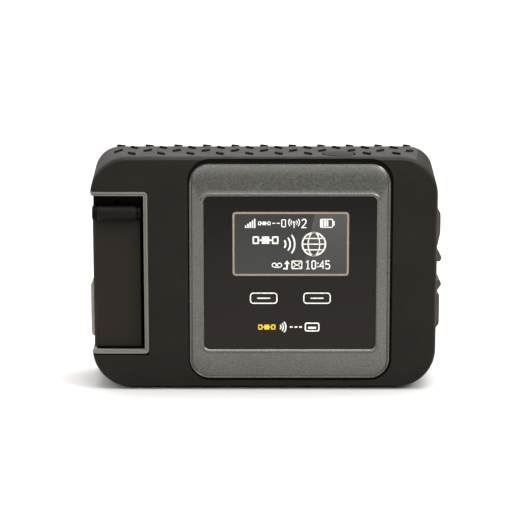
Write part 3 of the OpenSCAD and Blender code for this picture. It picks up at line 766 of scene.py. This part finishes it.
TREAD_H = 0.65
TREAD_PITCH = 9.5
ROW_PITCH = 6.8
BLOCK_HALF = 1.95
BLOCK_R = 0.58
BLOCK_SLANT = 35


def capsule(half, radius, slant):
    """A round-ended bar in plan, turned by slant degrees."""
    reach = half - radius
    points = [(x, y + reach) for x, y in arc((0, 0), radius, 0, 180, 6)]
    points += [(x, y - reach) for x, y in arc((0, 0), radius, 180, 360, 6)]
    a = math.radians(slant)
    return [(x * math.cos(a) - y * math.sin(a), x * math.sin(a) + y * math.cos(a)) for x, y in points]


def tread_places(with_button):
    """[s, y, slant] of each block: four rows, every second one shifted and mirrored."""
    places = []
    for row in (-1, 0, 1, 2):
        odd = row % 2 == 1
        count = 10 if odd else 11
        for i in range(count):
            s = (i - (count - 1) / 2) * TREAD_PITCH
            y = row * ROW_PITCH - (0.8 if row == 2 else 0)
            near = math.hypot(s - POWER_AT[0], y - POWER_AT[1]) < POWER_R + 2.4
            if not (with_button and near):
                places.append((s, y, BLOCK_SLANT if odd else -BLOCK_SLANT))
    return places


def tread_blocks(name, with_button, down):
    """The raised bars of the tread, with crowned tops and soft shoulders."""
    pile = Pile()
    levels = [(-0.3, 0), (TREAD_H - 0.28, 0), (TREAD_H - 0.08, 0.07), (TREAD_H, 0.24)]
    for s, y, slant in tread_places(with_button):
        rings = []
        for out, shrink in levels:
            plan = capsule(BLOCK_HALF - shrink, BLOCK_R - shrink, slant)
            rings.append([tread_point(s + u, y + v, out, down) for u, v in plan])
        pile.add(rings)
    return pile.mesh(name)


def treads():
    strips = (("top", "top_tread_strip", False), ("bottom", "bottom_tread_strip", True))
    for side, node, down in strips:
        strip = band_solid(side + "_tread_band", 0, 0, down)
        if not down:
            combine(strip, [power_bore(0.65)])
        place(strip, "housing", "tread_rubber", node)
        blocks = tread_blocks(side + "_tread_blocks", not down, down)
        place(blocks, "housing", "seal_rubber", node, material=TREAD_BLOCK)


def power_button():
    """Domed cap with a turned groove and a raised ring mark."""
    low = POWER_LOW.z
    top = POWER_HIGH.z - low
    flange = POWER_R + 0.8
    dome = 28

    def crown(r):
        return top - (dome - math.sqrt(dome * dome - r * r))
    profile = [(0, 0), (1.5, 0), (1.5, 0.6), (flange, 0.6), (flange, 1.5), (POWER_R, 1.5),
               (POWER_R, crown(POWER_R) - 0.25), (POWER_R - 0.08, crown(POWER_R) - 0.08),
               (POWER_R - 0.25, crown(POWER_R))]
    profile += [(r, crown(r)) for r in (4.3, 4.05)] + [(3.95, crown(4) - 0.12), (3.75, crown(4) - 0.12)]
    profile += [(3.65, crown(3.65)), (2.4, crown(2.4)), (2.3, top), (1.9, top), (1.8, crown(1.8)),
                (0.9, crown(0.9)), (0, crown(0))]
    cap = lathe("power_cap", profile, (*POWER_AT, low), (0, 0, 1), 64)
    place(cap, "power_button", "tread_rubber", "power_button", material=POWER_CAP, sharp=50)


# ---------- display ----------

BEZEL_LOWER = 0.35


def bezel_ring(inset, y):
    half_w, half_h = BEZEL_HALF
    return rounded_ring(half_w - inset, half_h - BEZEL_LOWER / 2 - inset, BEZEL_R - inset, y,
                        (BEZEL_C[0], BEZEL_C[1] - BEZEL_LOWER / 2), 14)


def at_side(z):
    """1 at the sides and bottom of the bezel, falling to 0 along its top."""
    return min(1, max(0, (BEZEL_HIGH.z - 3 - z) / 12))


def rim_ring(inset, bead_y, plain_y):
    """A ring of the rim: a bead at the sides and bottom, a plain rolled edge at the top."""
    return [(x, plain_y + (bead_y - plain_y) * at_side(z), z) for x, _, z in bezel_ring(inset, 0)]


def opening_ring(grow, y):
    return rounded_ring(WINDOW_HALF[0] + grow, WINDOW_HALF[1] + grow, WINDOW_R + grow, y,
                        WINDOW_C, 14)


def bezel():
    """The frame round the window: rim bead, long crowned slope, dip and raised inner lip."""
    rim = [(0, -14.3, -13.5), (0.08, -14.42, -13.6), (0.25, -14.5, -13.72), (0.45, -14.46, -13.84),
           (0.55, -14.32, -13.89), (0.62, -14.2, -13.93), (0.8, -14.2, -14.02), (0.88, -14.32, -14.06)]
    rings = [bezel_ring(0, RECESS_Y)] + [rim_ring(*stop) for stop in rim]
    outer, inner = bezel_ring(0.95, 0), opening_ring(1.55, 0)
    rise = 14
    for i in range(rise + 1):
        f = (i / rise) ** 1.25
        swell = 0.7 * f + 0.3 * (1 - (1 - f) ** 4)
        ring = []
        for a, b in zip(outer, inner):
            y = -14.1 - 0.4 * at_side(a[2])
            ring.append((a[0] + (b[0] - a[0]) * f, y + (-15.5 - y) * swell, a[2] + (b[2] - a[2]) * f))
        rings.append(ring)
    lip = [(1.42, -15.47), (1.3, -15.5), (1.15, -15.68), (0.95, -15.81), (0.72, BEZEL_LOW.y),
           (0.5, -15.8), (0.34, -15.66), (0.26, -15.55), (0.14, -15.5), (0.06, -15.4),
           (0.05, WINDOW_Y - 0.1), (0.05, WINDOW_HIGH.y)]
    rings += [opening_ring(grow, y) for grow, y in lip]
    rings += [opening_ring(-1.4, WINDOW_HIGH.y), opening_ring(-1.4, RECESS_Y)]
    place(solid("bezel_frame", rings, wrap=True), "housing", "bezel_metal", "display_bezel", sharp=50)


KEYS = ("left_key", "right_key")
KEY_HALF = (4.5, 1.9)


def window():
    """The glossy pane, with a hole for each key."""
    pane = rounded_slab("window_pane", *WINDOW_HALF, WINDOW_R, WINDOW_Y, WINDOW_HIGH.y,
                        WINDOW_C, 0.12, 12)
    holes = [rounded_slab("key_hole", KEY_HALF[0] + 0.15, KEY_HALF[1] + 0.15, 1.2, -20, -10,
                          centre_mm(name, "xz")) for name in KEYS]
    combine(pane, holes)
    place(pane, "housing", "window_gloss", "display_window", weighted=True)


class Print(Pile):
    """Thin raised print on the window: bars, strokes and discs gathered into one piece."""

    def __init__(self, y, thick):
        super().__init__()
        self.y, self.thick = y, thick

    def fill(self, outline):
        self.add([[(x, y, z) for x, z in outline] for y in (self.y - self.thick, self.y)])

    def bar(self, x0, z0, x1, z1):
        self.fill([(x0, z0), (x1, z0), (x1, z1), (x0, z1)])

    def disc(self, x, z, r):
        self.fill(arc((x, z), r, 0, 345, 23))

    def stroke(self, points, width, closed=False):
        """A line of constant width through the points, mitred at its corners."""
        flat = [Vector(p) for p in points]
        sections = []
        count = len(flat)
        for i, here in enumerate(flat):
            a = (here - flat[i - 1]).normalized() if closed or i > 0 else None
            b = (flat[(i + 1) % count] - here).normalized() if closed or i < count - 1 else None
            a, b = a or b, b or a
            along = (a + b).normalized()
            reach = width / 2 / max(0.5, along.dot(a))
            side = Vector((-along.y, along.x)) * reach
            left, right = here + side, here - side
            sections.append([(p.x, y, p.y) for p, y in (
                (left, self.y - self.thick), (right, self.y - self.thick),
                (right, self.y), (left, self.y))])
        self.add(sections, wrap=closed)

    def loop(self, x, z, half_w, half_h, r, width):
        ring = rounded_ring(half_w - width / 2, half_h - width / 2, r, 0, (x, z), 5)
        self.stroke([(a, b) for a, _, b in ring], width, closed=True)

    def piece(self, name, body, slot, material):
        place(self.mesh(name), body, slot, material=material)


DIGITS = {
    "0": [[(0.1, 0.15), (0.1, 0.85), (0.2, 1), (0.45, 1), (0.55, 0.85), (0.55, 0.15), (0.45, 0),
           (0.2, 0), (0.1, 0.15)]],
    "1": [[(0.12, 0.8), (0.33, 1), (0.33, 0)], [(0.12, 0), (0.54, 0)]],
    "2": [[(0.06, 0.82), (0.2, 1), (0.45, 1), (0.56, 0.8), (0.5, 0.55), (0.06, 0), (0.6, 0)]],
    "4": [[(0.45, 0), (0.45, 1), (0.04, 0.32), (0.62, 0.32)]],
    "5": [[(0.55, 1), (0.1, 1), (0.1, 0.57), (0.42, 0.6), (0.56, 0.42), (0.56, 0.16), (0.42, 0),
           (0.16, 0), (0.06, 0.12)]],
}


def draw_digits(ink, text, x, z, height, width):
    """Plain figures drawn as strokes; a colon is two dots."""
    for sign in text:
        if sign == ":":
            for level in (0.25, 0.7):
                ink.disc(x + height * 0.12, z + height * level, width * 0.62)
            x += height * 0.3
            continue
        for path in DIGITS[sign]:
            ink.stroke([(x + a * height, z + b * height) for a, b in path], width)
        x += height * 0.72


def draw_arcs(ink, x, z, radii, middle, spread, width):
    for r in radii:
        ink.stroke(arc((x, z), r, middle - spread, middle + spread, 8), width)


def draw_satellite(ink, x, z, size, width):
    """A small satellite: a square body between two panels on short arms."""
    half = size * 0.16
    ink.bar(x - half, z - half, x + half, z + half)
    for side in (-1, 1):
        ink.stroke([(x + side * half, z), (x + side * size * 0.3, z)], width)
        ink.loop(x + side * size * 0.42, z, size * 0.14, size * 0.17, 0.05, width)


def status_row(ink, z0):
    """Signal bars, a satellite link, an antenna with one figure, and a battery."""
    height = 2.95
    for i in range(5):
        x = -6.1 + i * 0.72
        ink.bar(x, z0, x + 0.46, z0 + height * (0.28 + 0.18 * i))
    draw_satellite(ink, 0.1, z0 + 1.5, 3.6, 0.28)
    ink.stroke([(2.6, z0 + 1.5), (3.6, z0 + 1.5)], 0.28)
    ink.stroke([(4.1, z0 + 1.5), (5.1, z0 + 1.5)], 0.28)
    ink.loop(6.3, z0 + 1.5, 0.75, 1.3, 0.25, 0.28)
    middle = z0 + 1.75
    ink.disc(9.65, middle, 0.42)
    ink.stroke([(9.65, middle), (9.65, z0)], 0.3)
    for side in (0, 180):
        draw_arcs(ink, 9.65, middle, (1.0, 1.75), side, 42, 0.3)
    draw_digits(ink, "2", 12.0, z0 + 0.1, 2.7, 0.36)
    ink.loop(20.1, z0 + 1.5, 2.1, 1.45, 0.3, 0.3)
    ink.bar(22.25, z0 + 0.8, 22.65, z0 + 2.2)
    for i in range(3):
        x = 18.35 + i * 0.85
        ink.bar(x, z0 + 0.5, x + 0.6, z0 + 2.5)


def link_picture(ink, x, z, scale, width):
    """A satellite sending to a globe: the generic picture of a link."""
    draw_satellite(ink, x + 2.4 * scale, z + 0.8 * scale, 4.6 * scale, width)
    draw_arcs(ink, x + 5.2 * scale, z, (1.2 * scale, 2.1 * scale, 3.0 * scale), 0, 38, width)
    centre = x + 12 * scale
    r = 2.3 * scale
    ink.stroke(arc((centre, z), r, 0, 345, 23), width, closed=True)
    for side in (-1, 1):
        bow = [(centre + side * (px - centre) * 0.5, pz) for px, pz in arc((centre, z), r, -90, 90, 16)]
        ink.stroke(bow, width * 0.7)
    for level in (-0.5, 0, 0.5):
        half = math.sqrt(1 - level * level) * r
        ink.stroke([(centre - half, z + level * r), (centre + half, z + level * r)], width * 0.7)


def message_row(ink, z0):
    """A reel mark, an arrow, an envelope and the time."""
    middle = z0 + 1.35
    for x in (3.3, 5.0):
        ink.stroke(arc((x, middle), 0.68, 0, 330, 11), 0.3, closed=True)
    ink.stroke([(3.3, middle - 0.75), (5.0, middle - 0.75)], 0.3)
    ink.stroke([(6.2, z0 + 0.2), (7.4, z0 + 0.2), (7.4, z0 + 1.9)], 0.5)
    ink.fill([(6.5, z0 + 1.7), (8.3, z0 + 1.7), (7.4, z0 + 2.9)])
    ink.loop(10.6, z0 + 1.45, 1.75, 1.4, 0.15, 0.32)
    ink.stroke([(9.1, z0 + 2.6), (10.6, z0 + 1.25), (12.1, z0 + 2.6)], 0.28)
    ink.stroke([(9.2, z0 + 0.3), (10.1, z0 + 1.3)], 0.24)
    ink.stroke([(12.0, z0 + 0.3), (11.1, z0 + 1.3)], 0.24)
    draw_digits(ink, "10:45", 13.3, z0 + 0.15, 2.6, 0.38)


def screen():
    """The lit field behind the window, its tan border and its print."""
    x, z = SCREEN_CENTRE
    face = rounded_slab("screen_field", 18.5, 10.2, 0.6, WINDOW_Y - 0.03, WINDOW_Y + 0.02, (x, z))
    place(face, "housing", "display_grey", "display_module")
    border = Print(WINDOW_Y + 0.02, 0.08)
    border.loop(x, z, 18.72, 10.44, 0.8, 0.62)
    border.piece("screen_border", "housing", "display_grey", FRAME_TAN)
    ink = Print(WINDOW_Y - 0.02, 0.05)
    status_row(ink, 15.3)
    link_picture(ink, -3.4, 10.0, 1.62, 0.5)
    message_row(ink, 1.75)
    ink.piece("screen_print", "housing", "display_grey", PRINT_WHITE)


def lower_mark():
    """Generic marks below the keys: a yellow satellite and a white link line."""
    z = -17.4
    yellow = Print(WINDOW_Y + 0.01, 0.04)
    draw_satellite(yellow, 0.9, z, 5.0, 0.36)
    yellow.piece("lower_mark_yellow", "housing", "window_gloss", PRINT_YELLOW)
    white = Print(WINDOW_Y + 0.01, 0.04)
    draw_arcs(white, 4.4, z, (1.1, 1.9, 2.7), 0, 40, 0.42)
    for i in range(3):
        white.bar(8.4 + i * 1.5, z - 0.25, 9.3 + i * 1.5, z + 0.25)
    white.loop(15.6, z, 2.4, 1.5, 0.5, 0.42)
    white.bar(14.3, z - 0.6, 16.9, z + 0.1)
    white.piece("lower_mark_white", "housing", "window_gloss", PRINT_WHITE)


def soft_keys():
    """Two keys, each a dished cap with a white outline and dash that move with it."""
    for name in KEYS:
        low, high = box_mm(name)
        centre = centre_mm(name, "xz")
        front = low.y
        levels = [(front + 0.12, 0), (front + 0.03, 0.04), (front, 0.12), (front, 0.5),
                  (front + 0.1, 0.66), (front + 0.14, 0.85)]
        rings = [rounded_ring(KEY_HALF[0] - i, KEY_HALF[1] - i, 1 - i * 0.5, y, centre, 8)
                 for y, i in reversed(levels)]
        skirt = [(-13.95, 0), (-13.9, -0.88), (-13.3, -0.88)]
        rings += [rounded_ring(KEY_HALF[0] - i, KEY_HALF[1] - i, 1, y, centre, 8) for y, i in skirt]
        rings += [rounded_ring(1.2, 1.2, 1.19, y, centre, 8) for y in (-13.3, high.y)]
        place(solid(name + "_cap", rings), name, "key_plastic", name, sharp=40)
        line = Print(front + 0.01, 0.03)
        line.loop(*centre, KEY_HALF[0] - 0.04, KEY_HALF[1] - 0.04, 0.95, 0.36)
        line.bar(centre[0] - 2.1, centre[1] - 0.2, centre[0] + 2.1, centre[1] + 0.2)
        line.piece(name + "_print", name, "key_plastic", PRINT_WHITE)


# ---------- antenna bay ----------

def trim_path():
    """Points, outward direction and surface normal along the bay's three-sided mouth."""
    side_x = -HALF_W
    depth = FRONT_ROLL[0]
    run = FACE_Y + depth - TRIM_BACK_Y
    stops = [((side_x, TRIM_BACK_Y + run * i / 4), (-1, 0)) for i in range(5)]
    for i in range(1, 9):
        y = FACE_Y + depth * (1 - math.sin(math.pi / 2 * i / 8))
        a = math.pi / 2 * i / 8
        stops.append(((side_x + inset_at(y), y), (-math.cos(a), -math.sin(a))))
    stops.append(((BAY_X, FACE_Y), (0, -1)))
    path = []
    for (x, y), normal in stops:
        path.append(((x, y, BAY_TOP), (0, 0, 1), (*normal, 0)))
    turns = 8
    for i in range(1, turns):
        a = math.radians(90 * (1 - i / turns))
        path.append(((BAY_X, FACE_Y, BAY_TOP), (math.cos(a), 0, math.sin(a)), (0, -1, 0)))
    path.append(((BAY_X, FACE_Y, BAY_TOP), (1, 0, 0), (0, -1, 0)))
    path += [((x, y, -z + BAY_TOP + BAY_BOTTOM), (ox, 0, -oz), n)
             for (x, y, z), (ox, _, oz), n in reversed(path)]
    return path


def bay_trim():
    """The pale edging round the bay: a flat inner strip and a raised outer bead."""
    section = [(-0.02, -1.5), (0.0, -0.28), (0.06, -0.2), (0.44, -0.17), (0.5, -0.26), (0.58, -0.26),
               (0.62, -0.12), (0.7, -0.01), (0.85, 0.04), (1.1, 0.05), (1.26, 0.0), (1.36, -0.1),
               (1.38, -1.5)]
    rings = []
    for point, outward, normal in trim_path():
        p, o, n = Vector(point), Vector(outward), Vector(normal)
        rings.append([p + o * a + n * b for a, b in section])
    place(solid("bay_edging", rings), "housing", "trim_grey", "bay_trim", sharp=45)


# ---------- antenna arm ----------

ARM_LOW, ARM_HIGH = box_mm("antenna_back_cover")
ARM_X = (ARM_LOW.x, ARM_HIGH.x)
ARM_SPLIT = ARM_LOW.y
ARM_BACK = ARM_HIGH.y
ARM_FRONT = -11.5
ARM_TOP = ARM_HIGH.z
HINGE = centre_mm("hinge_pin", "yz")
BARREL_X = (-53.8, -41.0)
BARREL_R = 2.3
OUTER_CHAMFER = 0.85
INNER_CHAMFER = 0.3
SWING_R = HINGE[1] - BAY_BOTTOM - 0.4
POCKET_R = 5.1


def arm_part(name, y0, y1, outer_y):
    """The arm between two depths, with the edges at outer_y chamfered."""
    x0, x1 = ARM_X
    outline = []
    for x, y, sx, sy in ((x0, y0, 1, 1), (x1, y0, -1, 1), (x1, y1, -1, -1), (x0, y1, 1, -1)):
        c = OUTER_CHAMFER if x == x0 else INNER_CHAMFER
        edge = [(x, y + sy * c), (x + sx * c, y)] if y == outer_y else [(x, y)]
        outline += edge if sx == sy else reversed(edge)
    arm = prism(name, outline, BAY_BOTTOM - 1, ARM_TOP, "Z")
    # only what lies within reach of the hinge clears the bay's floor
    reach = arc(HINGE, SWING_R, 180, 360, 160)
    reach += [(HINGE[0] + SWING_R, 40), (HINGE[0] - SWING_R, 40)]
    combine(arm, [prism("swing", reach, x0 - 1, x1 + 1, "X")], "INTERSECT")
    low, high = box_mm("antenna_core")
    deep = high.z - low.z + 0.6
    at = (*centre_mm("antenna_core", "xy"), low.z - 0.3)
    return combine(arm, [lathe("pocket", [(POCKET_R, 0), (POCKET_R, deep)], at, (0, 0, 1))])


def antenna_arm():
    front = arm_part("arm_front", ARM_FRONT, ARM_SPLIT, ARM_FRONT)
    back = arm_part("arm_back", ARM_SPLIT, ARM_BACK, ARM_BACK)
    y, z = HINGE
    # barrel and the web under it, in side view
    side = arc((y, z), BARREL_R, -20, 232, 28)
    side += [(ARM_FRONT - 0.9, 16.9), (ARM_FRONT - 0.25, 16.45), (ARM_FRONT + 0.3, 16.3),
             (ARM_FRONT + 1.6, 16.3), (ARM_FRONT + 1.6, ARM_TOP), (ARM_FRONT + 1.1, ARM_TOP + 0.4)]
    rings = []
    for x, grow in ((0, 0.8), (0.35, 0.9), (0.9, 0.97), (1.6, 1)):
        rings.append([(BARREL_X[0] + x, y + (a - y) * grow, z + (b - z) * grow) for a, b in side])
    rings += [[(sum(BARREL_X) - x, a, b) for x, a, b in ring] for ring in reversed(rings)]
    combine(front, [solid("barrel", rings)], "UNION")
    combine(front, [lathe("bore", [(0.8, 0), (0.8, 20)], (BARREL_X[0] - 2, y, z), (1, 0, 0), 24)])
    for part, node in ((front, "antenna_front_cover"), (back, "antenna_back_cover")):
        ease(part, 0.12, 30)
        place(part, "antenna_arm", "arm_plastic", node, weighted=True)


# ---------- covers and buttons ----------

def flap(name, node, slot, pin, radii, steps, sign=1):
    """A flap with its knuckle and bore; steps are [out from the pin, distance down from it]."""
    low, high = box_mm(node)
    knuckle_r, bore_r = radii

    def side_view(points):
        return [(pin[0] + a, pin[1] + b * sign) for a, b in points]
    outline = smooth_outline([(a, -b) for a, b in steps], 0.5)
    shape = prism(name, side_view(outline), low.y, high.y, "Y")
    hub = prism("hub", side_view(arc((0, 0), knuckle_r, 0, 345, 23)), low.y, high.y, "Y")
    combine(shape, [hub], "UNION")
    combine(shape, [lathe("bore", [(bore_r, 0), (bore_r, 50)], (pin[0], -20, pin[1]), (0, 1, 0), 20)])
    ease(shape, 0.2)
    place(shape, node, slot, node, weighted=True)


def side_cover(name, node, pin_node, up, plate):
    """A port cover hinged at one end: knuckle, thick plate, taper and a nub to pull."""
    low, high = box_mm(node)
    pin = centre_mm(pin_node, "xz")
    sign = 1 if up else -1
    length = (pin[1] - (low.z if up else high.z)) * sign
    out = high.x - pin[0]
    back = low.x - pin[0]
    steps = [(0.5, -0.55), (1.15, -0.5), (1.25, 0.3), (out - 0.6, 1.5), (out - 0.5, 2.6),
             (out - 0.5, plate), (out - 1.6, length - 4.4), (out - 1.5, length - 3.9),
             (out - 0.05, length - 1.8), (out, length - 1), (out - 0.5, length - 0.12),
             (0.8, length), (back + 0.25, length), (back, length - 0.3), (back, 2.05), (-0.6, 0.6),
             (-0.6, -0.4)]
    flap(name, node, "cover_rubber", pin, (0.98, 0.45), steps, sign)


def guard():
    """The flip-up guard over the emergency button."""
    pin = centre_mm("guard_pin", "xz")
    length = pin[1] - GUARD_LOW.z
    out = GUARD_LOW.x - pin[0]
    back = GUARD_HIGH.x - pin[0]
    steps = [(-0.6, -0.6), (-0.88, 0.9), (out, 4.7), (out, length - 1.6), (out + 0.25, length - 0.5),
             (out + 0.8, length), (back, length), (back, 2), (0.8, 0.5), (0.5, -0.6)]
    flap("guard_flap", "emergency_guard", "guard_grey", pin, (0.92, 0.55), steps)


def emergency_button():
    """A domed cap on a flange and a stem."""
    low, high = box_mm("emergency_button")
    centre = (low.x, *centre_mm("emergency_button", "yz"))
    deep = high.x - low.x
    profile = [(0, 0.12), (1.0, 0.1), (1.9, 0.03), (2.3, 0), (2.7, 0.03), (2.93, 0.14), (3, 0.3),
               (3, 1.6), (3.9, 1.6), (3.9, 2.2), (1.2, 2.2), (1.2, deep), (0, deep)]
    cap = lathe("emergency_cap", profile, centre, (1, 0, 0), 48)
    place(cap, "emergency_button", "red_plastic", "emergency_button", sharp=45)


# ---------- rear ----------

def battery_door():
    """The door with an eased rim, a grip field and a blank recessed label panel."""
    back = DOOR_HIGH.y
    levels = [(DOOR_LOW.y, 0), (back - 0.35, 0), (back - 0.12, -0.08), (back, -0.35)]
    door = solid("door_panel", [door_outline(grow, y) for y, grow in levels])
    cutters = [rounded_slab("label", 22, 11, 1.2, back - 0.18, back + 2, (DOOR_C[0], -8))]
    for i in range(7):
        z = 12 + i * 1.6
        cutters.append(rounded_slab("grip", 13 - 0.6 * abs(i - 3), 0.35, 0.34, back - 0.35, back + 2,
                                    (DOOR_C[0], z), steps=5))
    for side in (-1, 1):
        at = (DOOR_C[0] + side * EAR_X, 0, DOOR_C[1])
        cutters.append(lathe("head_room", [(2.9, back - 0.8), (2.9, back + 2)], at, (0, 1, 0)))
        cutters.append(lathe("shank_room", [(1.2, 0), (1.2, back)], at, (0, 1, 0), 24))
    combine(door, cutters)
    ease(door, 0.12, 40)
    place(door, "housing", "shell_plastic", "battery_door", weighted=True)


def screw(name, x, z, node, radius, slotted):
    """A flat-headed screw with a slot or a six-lobed drive recess."""
    low, high = box_mm(node)
    head = high.y
    thick = 0.8 if slotted else 1.8
    shank = 1.0 if slotted else 1.25
    profile = [(0, low.y), (shank, low.y), (shank, head - thick), (radius, head - thick),
               (radius, head - 0.22), (radius - 0.07, head - 0.07), (radius - 0.25, head), (0, head)]
    shape = lathe(name, profile, (x, 0, z), (0, 1, 0), 48)
    if slotted:
        drive = block("slot", (x - 3, head - 0.45, z - 0.42), (x + 3, head + 1, z + 0.42))
    else:
        lobes = 6
        turn = [2 * math.pi * i / (lobes * 6) for i in range(lobes * 6)]
        reach = [(a, 1.05 * (1 + 0.16 * math.cos(lobes * a))) for a in turn]
        star = [(x + r * math.cos(a), z + r * math.sin(a)) for a, r in reach]
        drive = prism("star", star, head - 1.1, head + 1, "Y")
    combine(shape, [drive])
    place(shape, "housing", "screw_steel", node, sharp=40)


def screws():
    for i, (x, z) in enumerate(CASE_SCREWS):
        screw(f"case_screw_{i + 1}", x, z, "case_screws", 2.5, False)
    for i, side in enumerate((-1, 1)):
        screw(f"door_screw_{i + 1}", DOOR_C[0] + side * EAR_X, DOOR_C[1], "door_screws", 2.7, True)


# ---------- scene ----------

def carry_over():
    """Give the CAD nodes their slots' finishes, black on the washers, and smooth shading."""
    slots = {part["node"]: part["material_slot"] for part in frame["record"]["subparts"]}
    for name, node in frame["nodes"].items():
        finish = BLACK_OXIDE if name == "friction_washers" else MATERIALS[slots[name]]
        node.data.materials.clear()
        node.data.materials.append(finish)
        node.data.polygons.foreach_set("use_smooth", [True] * len(node.data.polygons))
        node.data.set_sharp_from_angle(angle=math.radians(30))


def floor():
    """A wide, plain, pale disc."""
    steps = 96
    rings = [[(r * math.cos(2 * math.pi * i / steps), r * math.sin(2 * math.pi * i / steps), 0)
              for i in range(steps)] for r in (0.3, 1, 2, FLOOR_R)]
    verts, faces = skin(rings)
    mesh = bpy.data.meshes.new("studio_floor")
    mesh.from_pydata(verts, [], faces[:-1])
    paint = finish("studio_floor_finish")
    paint.set("Base Color", paint.ramp(paint.noise(400, 2), [(0.3, FLOOR_TONE),
                                                            (0.7, shade(FLOOR_TONE, 1.05))]))
    paint.set("Roughness", 0.9)
    mesh.materials.append(paint.owner)
    add_object("studio_floor", mesh)


def sky():
    """Air that is dim near the horizon and bright from about 20 degrees up."""
    world = bpy.data.worlds.new("studio_air")
    bpy.context.scene.world = world
    air = Nodes(world, "Background", "Generated")
    air.set("Color", air.ramp(air.axis("Z"), [
        (height, (tone, tone * 0.99, tone * 0.98, 1)) for height, tone in SKY]))


def lights():
    """A broad light overhead and a small square one high at the right."""
    sun = bpy.data.lights.new("overhead_light", "SUN")
    sun.energy = OVERHEAD
    sun.angle = math.radians(50)
    sun.color = (1.0, 0.985, 0.965)
    add_object("overhead_light", sun).rotation_euler = (math.radians(-4), math.radians(8), 0)
    corner = bpy.data.lights.new("corner_light", "AREA")
    corner.size = 0.3
    corner.energy = CORNER_POWER
    corner.color = (1.0, 0.98, 0.95)
    lamp = add_object("corner_light", corner)
    lamp.location = CORNER_PLACE
    aim = Vector((0, 0, MIDDLE * MM)) - Vector(CORNER_PLACE)
    lamp.rotation_euler = aim.to_track_quat("-Z", "Y").to_euler()


FLOOR_R = 4
FLOOR_TONE = (0.52, 0.52, 0.515, 1)
# [sine of the height above the horizon, brightness]
SKY = ((0.0, 0.08), (0.2, 0.1), (0.36, 1.8), (0.7, 1.6), (1.0, 1.0))
OVERHEAD = 3.8
CORNER_PLACE = (0.9, -0.6, 1.0)
CORNER_POWER = 8
VIEW_DISTANCE = 0.640
VIEW_HEIGHT = math.radians(11.5)
LENS = 131.3
SHIFT = (0.0028, -0.0008)


def camera():
    """A long lens that looks slightly down at the middle of the housing."""
    data = bpy.data.cameras.new("view_camera")
    data.sensor_width = 36
    data.lens = LENS
    data.shift_x, data.shift_y = SHIFT
    data.clip_start = 0.05
    data.clip_end = 20
    eye = add_object("view_camera", data)
    eye.location = (0, -VIEW_DISTANCE * math.cos(VIEW_HEIGHT),
                    MIDDLE * MM + VIEW_DISTANCE * math.sin(VIEW_HEIGHT))
    eye.rotation_euler = (math.pi / 2 - VIEW_HEIGHT, 0, 0)
    bpy.context.scene.camera = eye
    bpy.context.scene.view_settings.view_transform = "Standard"


camera()
floor()
sky()
lights()
carry_over()
front_shell()
rear_shell()
treads()
power_button()
bezel()
window()
screen()
lower_mark()
soft_keys()
bay_trim()
antenna_arm()
side_cover("antenna_flap", COVERS[0], "antenna_cover_pin", True, 8.1)
side_cover("data_flap", COVERS[1], "data_cover_pin", False, 11.5)
guard()
emergency_button()
battery_door()
screws()
